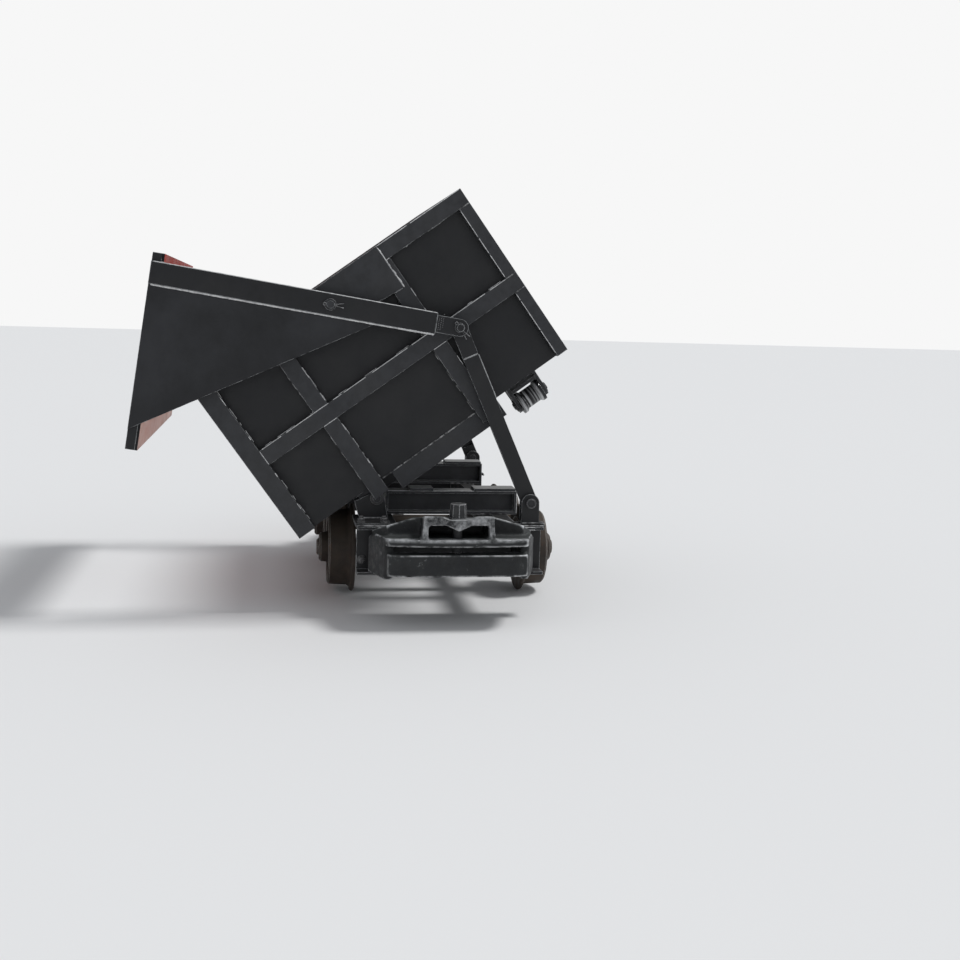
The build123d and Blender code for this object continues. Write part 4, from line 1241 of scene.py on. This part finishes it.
@dataclass
class Chassis:
    """The underframe: sole bars, headstocks, bolsters, brackets, couplers, axle boxes and wheels, in millimetres."""

    shop: Workshop
    top: float = 283.0
    back_x: float = 594.0
    face_x: float = 654.0
    sole_y: float = 190.0
    sole_half: float = 25.0
    bolster_x: float = 370.0
    bolster_edges: tuple[float, float] = (-32.5, 32.5)
    bracket_plates: tuple[float, ...] = (586.0, 594.0, 618.0, 626.0)
    bracket_base: tuple[float, float] = (588.0, 632.0)
    lug_plates: tuple[float, ...] = (471.5, 481.5, 526.5, 536.5)
    lug_base: tuple[float, float] = (-295.0, -191.0)
    rib_y: float = 212.0
    tacks: tuple[float, ...] = (-240.0, -150.0, 60.0, 150.0)
    axle_x: float = 250.0
    axle_bolts: tuple[float, float] = (-60.0, 60.0)
    axle_bolt_z: float = 204.0
    face_nut: Spot = (604.0, -274.0, 173.0)
    lug_nuts: tuple[float, float] = (-278.0, -208.0)
    lug_nut_x: float = 614.0
    hinge_faces: tuple[float, float] = (471.3, 536.7)

    def welds(self, end: End) -> None:
        """Lays the beads on one end of the chassis, and thin bright lines along its edges: partly worn paint, partly
        painted highlight on the lit top edges.

        Args:
            end: Which end of the cart.
        """
        back, face, foot = self.back_x, self.face_x, LINK_FOOT[0]
        seat, plate = self.top + 1, self.top + 9
        runs = []
        for side in SIDES:
            inner, outer = side * (self.sole_y - self.sole_half), side * (self.sole_y + self.sole_half)
            runs += [((back, inner, 214), (back, inner, 281)), ((back, inner, 212), (back, outer, 212))]
            runs += [((self.bolster_x + edge, y, seat), (self.bolster_x + edge, y - side * 40, seat))
                     for y in (inner - side, outer + side) for edge in self.bolster_edges]
        (near, far), (left, right) = self.bracket_base, self.lug_base
        runs += [((near, y, seat), (far, y, seat)) for y in (foot - 46.5, foot + 46.5)]
        runs += [((x, foot - 28, plate), (x, foot + 28, plate)) for x in self.bracket_plates]
        runs += [((x, left + 18, plate), (x, right, plate)) for x in self.lug_plates]
        runs += [((far + 2.5, foot - 44, seat), (far + 2.5, foot + 44, seat)),
                 ((far + 8.5, left, seat), (far + 8.5, right, seat)),
                 ((near + 10, right + 2.5, seat), (far + 6, right + 2.5, seat))]
        runs += [((622, y, 146), (622, y, 272)) for y in (-self.rib_y, self.rib_y)]
        runs += [((face, y, self.top - 1), (face, y + 60, self.top - 1)) for y in self.tacks]
        seams = GROUND.lines(*runs, way=end.value)
        self.shop.bead(f"chassis_welds_{end.word}", "frame", seams, 2.8, "weld_trace")
        # Thin bright lines on the bolster's top lip and end and on the headstock's top edges: partly worn paint,
        # partly painted highlight where light from above catches them.
        lip, high, front = self.bolster_x + 31.6, self.top + 76.6, self.face_x + 0.6
        worn = GROUND.lines(
            ((lip, -180, high), (lip, 247, high)),
            ((lip, 247.6, self.top + 4), (lip, 247.6, high)),
            ((front, 150, self.top - 0.4), (front, 262, self.top - 0.4)),
            ((front, 168, self.top - 8), (front, 262, self.top - 8)), way=end.value,
        )
        self.shop.bead(f"chassis_worn_edges_{end.word}", "frame", worn, 1.4, "weld_bright")

    def fasteners(self, end: End) -> None:
        """Sets the bolts, nuts and washers on one end of the chassis.

        Args:
            end: Which end of the cart.
        """
        way = end.value
        heads = [(GROUND.at(way * self.axle_x + reach, side * self.sole_y, self.axle_bolt_z), -UP)
                 for side in SIDES for reach in self.axle_bolts]
        x, y, z = self.face_nut
        nuts = [(GROUND.at(way * x, y, z), end.out)]
        nuts += [(GROUND.at(way * self.lug_nut_x, y, self.top + 8), UP) for y in self.lug_nuts]
        self.shop.bolts(f"axle_box_bolts_{end.word}", "frame", heads, "bolt", 0.9)
        self.shop.bolts(f"headstock_nuts_{end.word}", "frame", nuts, "nut", 0.85)
        shape = bmesh.new()
        for x, out in zip(self.hinge_faces, SIDES):
            washer(shape, GROUND.at(way * x, *HINGE), end.out * out, 13.2, 21, 0.1, 3.2)
        self.shop.steel(f"hinge_washers_{end.word}", "frame", shape)

    def build(self) -> None:
        """Builds and dresses the chassis."""
        self.shop.dress({
            "paint_frame": ("sole_bar_left", "sole_bar_right", "headstock_", "hinge_lugs_", "link_bracket_"),
            "paint_shaded": ("bolster_",), "pin": ("hinge_pin_", "link_pin_"), "pin_rough": ("coupler_pin_",),
            "casting_dark": ("axle_boxes_",), "axle": ("axle_",), "wheel": ("wheels_",),
        })
        for end in End:
            Casting(self.shop).build(f"coupler_{end.word}", "frame")
            self.welds(end)
            self.fasteners(end)


FASTENERS = (Fastener("bolt", 10.0, 30.0, 0.0), Fastener("nut", 13.0, 32.0, 8.0))
PAINT = dict(base=(0.0150, 0.0155, 0.0175), deep=(0.0085, 0.0090, 0.0105), dust=(0.075, 0.073, 0.070),
             bare=(0.50, 0.51, 0.52), rust=(0.050, 0.030, 0.020), dust_amount=0.12, dust_up=0.3)
PLATE = dict(PAINT, edge=0.0018, rust_amount=0.12)
BARS = dict(PAINT, base=(0.0400, 0.0415, 0.0460), deep=(0.0235, 0.0245, 0.0275), dust_amount=0.2)
WING = dict(PAINT, dust=(0.062, 0.064, 0.072), dust_amount=0.34, dust_scale=3.2)
# The bolsters' paint: the black paint made lighter as painted fill light for parts that sit in shade; its pale dust
# on upward faces is partly dust and partly a painted highlight on the lit top flanges.
FILL_LIT_PAINT = dict(PAINT, base=(0.044, 0.046, 0.052), deep=(0.026, 0.027, 0.031), dust=(0.27, 0.27, 0.265), dust_up=0.85)
STEEL = dict(metallic=0.4, worn_metallic=0.8, wear=0.6, dust_amount=0.2)
BEAD = dict(roughness=(0.4, 0.65), edge=0.0012)
FINISHES = (
    Finish("paint_box", turn=TILT, wear=0.44, edge=0.0036, rust_amount=0.1, **BARS),
    Finish("end_wall", turn=TILT, wear=0.4, coat=Coat.END_WALL, **PLATE),
    Finish("floor", turn=TILT, wear=0.45, coat=Coat.FLOOR, **dict(PLATE, rust_amount=0.16)),
    Finish("side_wall", turn=TILT, wear=0.42, coat=Coat.SIDE_WALL, **PLATE),
    Finish("door", turn=-DOOR_LEAN, wear=0.42, coat=Coat.DOOR, specular=0.12, **PLATE),
    Finish("paint_door", turn=-DOOR_LEAN, wear=0.45, edge=0.0032, rust_amount=0.1, **WING),
    Finish("paint_arm", turn=-DOOR_LEAN, wear=0.55, edge=0.0042, rust_amount=0.06, **PAINT),
    Finish("paint_link", turn=LINK_ANGLE, wear=0.5, edge=0.0024, rust_amount=0.08, **PAINT),
    Finish("paint_frame", wear=0.5, edge=0.0036, rust_amount=0.16, **PAINT),
    Finish("paint_shaded", wear=0.55, edge=0.0032, rust_amount=0.12, **FILL_LIT_PAINT),
    Finish("casting", base=(0.0135, 0.0145, 0.0165), deep=(0.0050, 0.0055, 0.0065), dust=(0.075, 0.082, 0.078),
           bare=(0.62, 0.63, 0.64), rust=(0.040, 0.052, 0.034), roughness=(0.36, 0.64), worn_metallic=0.25,
           dust_amount=0.22, dust_up=0.30, dust_scale=11.0, grain=(300.0, 48.0), bump=0.0030, rust_amount=0.24,
           carved=True),
    Finish("casting_dark", base=(0.035, 0.033, 0.032), deep=(0.02, 0.018, 0.017), dust=(0.12, 0.10, 0.08),
           bare=(0.3, 0.28, 0.26), rust=(0.10, 0.055, 0.03), roughness=(0.5, 0.75), wear=0.5, edge=0.004,
           dust_amount=0.4, grain=(260.0, 34.0), bump=0.0014, rust_amount=0.3),
    Finish("wheel", base=(0.050, 0.036, 0.028), deep=(0.022, 0.016, 0.013), dust=(0.115, 0.094, 0.074),
           bare=(0.42, 0.40, 0.38), rust=(0.095, 0.048, 0.026), roughness=(0.5, 0.78), worn_metallic=0.8, wear=0.62,
           edge=0.005, dust_amount=0.35, stretch=(1.0, 1.0, 1.0), grain=(220.0, 24.0), bump=0.0014, rust_amount=0.4),
    Finish("axle", base=(0.085, 0.068, 0.055), deep=(0.04, 0.032, 0.026), dust=(0.13, 0.11, 0.09),
           bare=(0.4, 0.38, 0.36), rust=(0.12, 0.06, 0.03), metallic=0.5, worn_metallic=0.9, wear=0.6, edge=0.003,
           dust_amount=0.25, stretch=(1.0, 0.2, 1.0), rust_amount=0.35),
    # Its runs colour is pale grey, not rust: it paints pale streak bands round the barrel.
    Finish("roller", base=(0.022, 0.023, 0.026), deep=(0.010, 0.0105, 0.012), dust=(0.08, 0.075, 0.07),
           bare=(0.55, 0.55, 0.55), rust=(0.74, 0.75, 0.76), roughness=(0.22, 0.42), metallic=0.15,
           worn_metallic=0.8, wear=0.7, edge=0.003, dust_amount=0.2, dust_up=0.05, stretch=(0.03, 1.6, 0.03),
           turn=TILT, rust_amount=0.76, grain=(500.0, 60.0)),
    Finish("pin", base=(0.052, 0.053, 0.057), deep=(0.022, 0.023, 0.025), dust=(0.10, 0.095, 0.09),
           bare=(0.42, 0.42, 0.43), rust=(0.08, 0.05, 0.03), roughness=(0.32, 0.58), **STEEL),
    Finish("pin_rough", base=(0.026, 0.027, 0.030), deep=(0.009, 0.0095, 0.011), dust=(0.10, 0.10, 0.095),
           bare=(0.55, 0.55, 0.56), rust=(0.06, 0.05, 0.04), roughness=(0.4, 0.65), wear=0.6, edge=0.004,
           dust_amount=0.35, dust_scale=30.0, bump=0.0012),
    Finish("bolt", base=(0.09, 0.09, 0.092), deep=(0.04, 0.04, 0.042), dust=(0.13, 0.12, 0.11),
           bare=(0.42, 0.42, 0.42), rust=(0.11, 0.06, 0.035), rust_amount=0.3, **STEEL, **BEAD),
    Finish("weld", base=(0.42, 0.43, 0.44), deep=(0.16, 0.16, 0.165), dust=(0.46, 0.46, 0.45), bare=(0.6, 0.6, 0.6),
           rust=(0.09, 0.075, 0.06), metallic=0.1, worn_metallic=0.5, wear=0.6, dust_up=0.2, grain=(700.0, 90.0),
           rust_amount=0.15, **BEAD),
    Finish("weld_trace", base=(0.036, 0.036, 0.038), deep=(0.018, 0.018, 0.019), dust=(0.60, 0.60, 0.60),
           bare=(0.40, 0.40, 0.41), rust=(0.07, 0.05, 0.035), wear=0.3, dust_amount=0.9, dust_up=0.04,
           dust_scale=48.0, grain=(700.0, 90.0), rust_amount=0.15, **BEAD),
    # Pale finish for bright welds and for the thin lines of painted highlight along lit edges.
    Finish("weld_bright", base=(0.78, 0.78, 0.78), deep=(0.42, 0.42, 0.43), dust=(0.70, 0.70, 0.69),
           bare=(0.85, 0.85, 0.85), rust=(0.20, 0.18, 0.16), dust_amount=0.4, dust_scale=30.0,
           grain=(700.0, 60.0), rust_amount=0.12, **BEAD),
)


@dataclass
class Studio:
    """The floor, the world, the lamp and the camera; place in millimetres, turns in degrees."""

    place: Spot = (4516.3, -536.9, 950.4)
    turns: Spot = (9.05, 5.191, 1.656)
    focal_px: float = 1277.3
    axis_px: tuple[float, float] = (480.0, 427.0)
    frame_px: float = 960.0
    sensor: float = 36.0
    even: float = 0.5
    sun_ahead: Spot = (0.05, -0.62, -1.0)
    sun_strength: float = 1.9
    sun_width: float = 14.0

    def camera(self) -> None:
        """Sets the camera where the photograph was taken from."""
        yaw, pitch, roll = (math.radians(a) for a in self.turns)
        ahead = Vector((-math.cos(yaw) * math.cos(pitch), math.sin(yaw) * math.cos(pitch), -math.sin(pitch)))
        level = Vector((math.sin(yaw), math.cos(yaw), 0.0))
        above = level.cross(ahead)
        right = level * math.cos(roll) + above * math.sin(roll)
        up = above * math.cos(roll) - level * math.sin(roll)
        lens = bpy.data.cameras.new("camera")
        lens.sensor_width = self.sensor
        lens.lens = self.focal_px / self.frame_px * self.sensor
        lens.shift_x = (self.frame_px / 2 - self.axis_px[0]) / self.frame_px
        lens.shift_y = (self.axis_px[1] - self.frame_px / 2) / self.frame_px
        lens.clip_end = 200.0
        seen = linked("camera", lens)
        turn = Matrix((right, up, -ahead)).transposed().to_4x4()
        seen.matrix_world = Matrix.Translation(Vector(self.place) * MM) @ turn
        bpy.context.scene.camera = seen

    def floor(self) -> None:
        """Lays the plain pale floor."""
        shape = bmesh.new()
        bmesh.ops.create_grid(shape, x_segments=1, y_segments=1, size=40.0)
        material = bpy.data.materials.new("studio_floor")
        material.use_nodes = True
        graph, shader = Graph(material.node_tree), material.node_tree.nodes["Principled BSDF"]
        graph.wire(shader.inputs["Base Color"], (0.78, 0.78, 0.78))
        graph.wire(shader.inputs["Roughness"], 0.9)
        mesh = cleaned(shape, "studio_floor")
        mesh.materials.append(material)
        made = linked("studio_floor", mesh)

    def world(self) -> None:
        """Sets the even light and the pale backdrop that the camera sees."""
        world = bpy.data.worlds.new("studio")
        bpy.context.scene.world = world
        world.use_nodes = True
        world.node_tree.nodes.clear()
        graph = Graph(world.node_tree)
        rays = graph.node("ShaderNodeLightPath").outputs
        seen = graph.math("MAXIMUM", rays["Is Camera Ray"], rays["Is Transmission Ray"])
        even = graph.node("ShaderNodeBackground", {"Color": (0.93, 0.96, 1.0), "Strength": self.even})
        pale = graph.node("ShaderNodeBackground", {"Color": (0.93, 0.93, 0.93), "Strength": 1.0})
        both = graph.node("ShaderNodeMixShader", {0: seen, 1: even, 2: pale})
        graph.node("ShaderNodeOutputWorld", {"Surface": both})

    def build(self) -> None:
        """Sets the whole studio."""
        bpy.context.scene.view_settings.view_transform = "Standard"
        self.camera()
        self.floor()
        self.world()
        light = bpy.data.lights.new("key", "SUN")
        light.energy = self.sun_strength
        light.angle = math.radians(self.sun_width)
        linked("key", light).rotation_euler = Vector(self.sun_ahead).to_track_quat("-Z", "Y").to_euler()


def main() -> None:
    """Builds the cart's looks in order."""
    logging.basicConfig(level=logging.INFO, format="%(name)s: %(message)s")
    shop = Workshop()
    for part in (Chassis(shop), LoadBox(shop), Door(shop), Linkage(shop)):
        part.build()
        log.info("%s done", type(part).__name__)
    for shape in shop.shapes.values():
        bpy.data.objects.remove(shape)
    Studio().build()


if __name__ == "__main__":
    main()
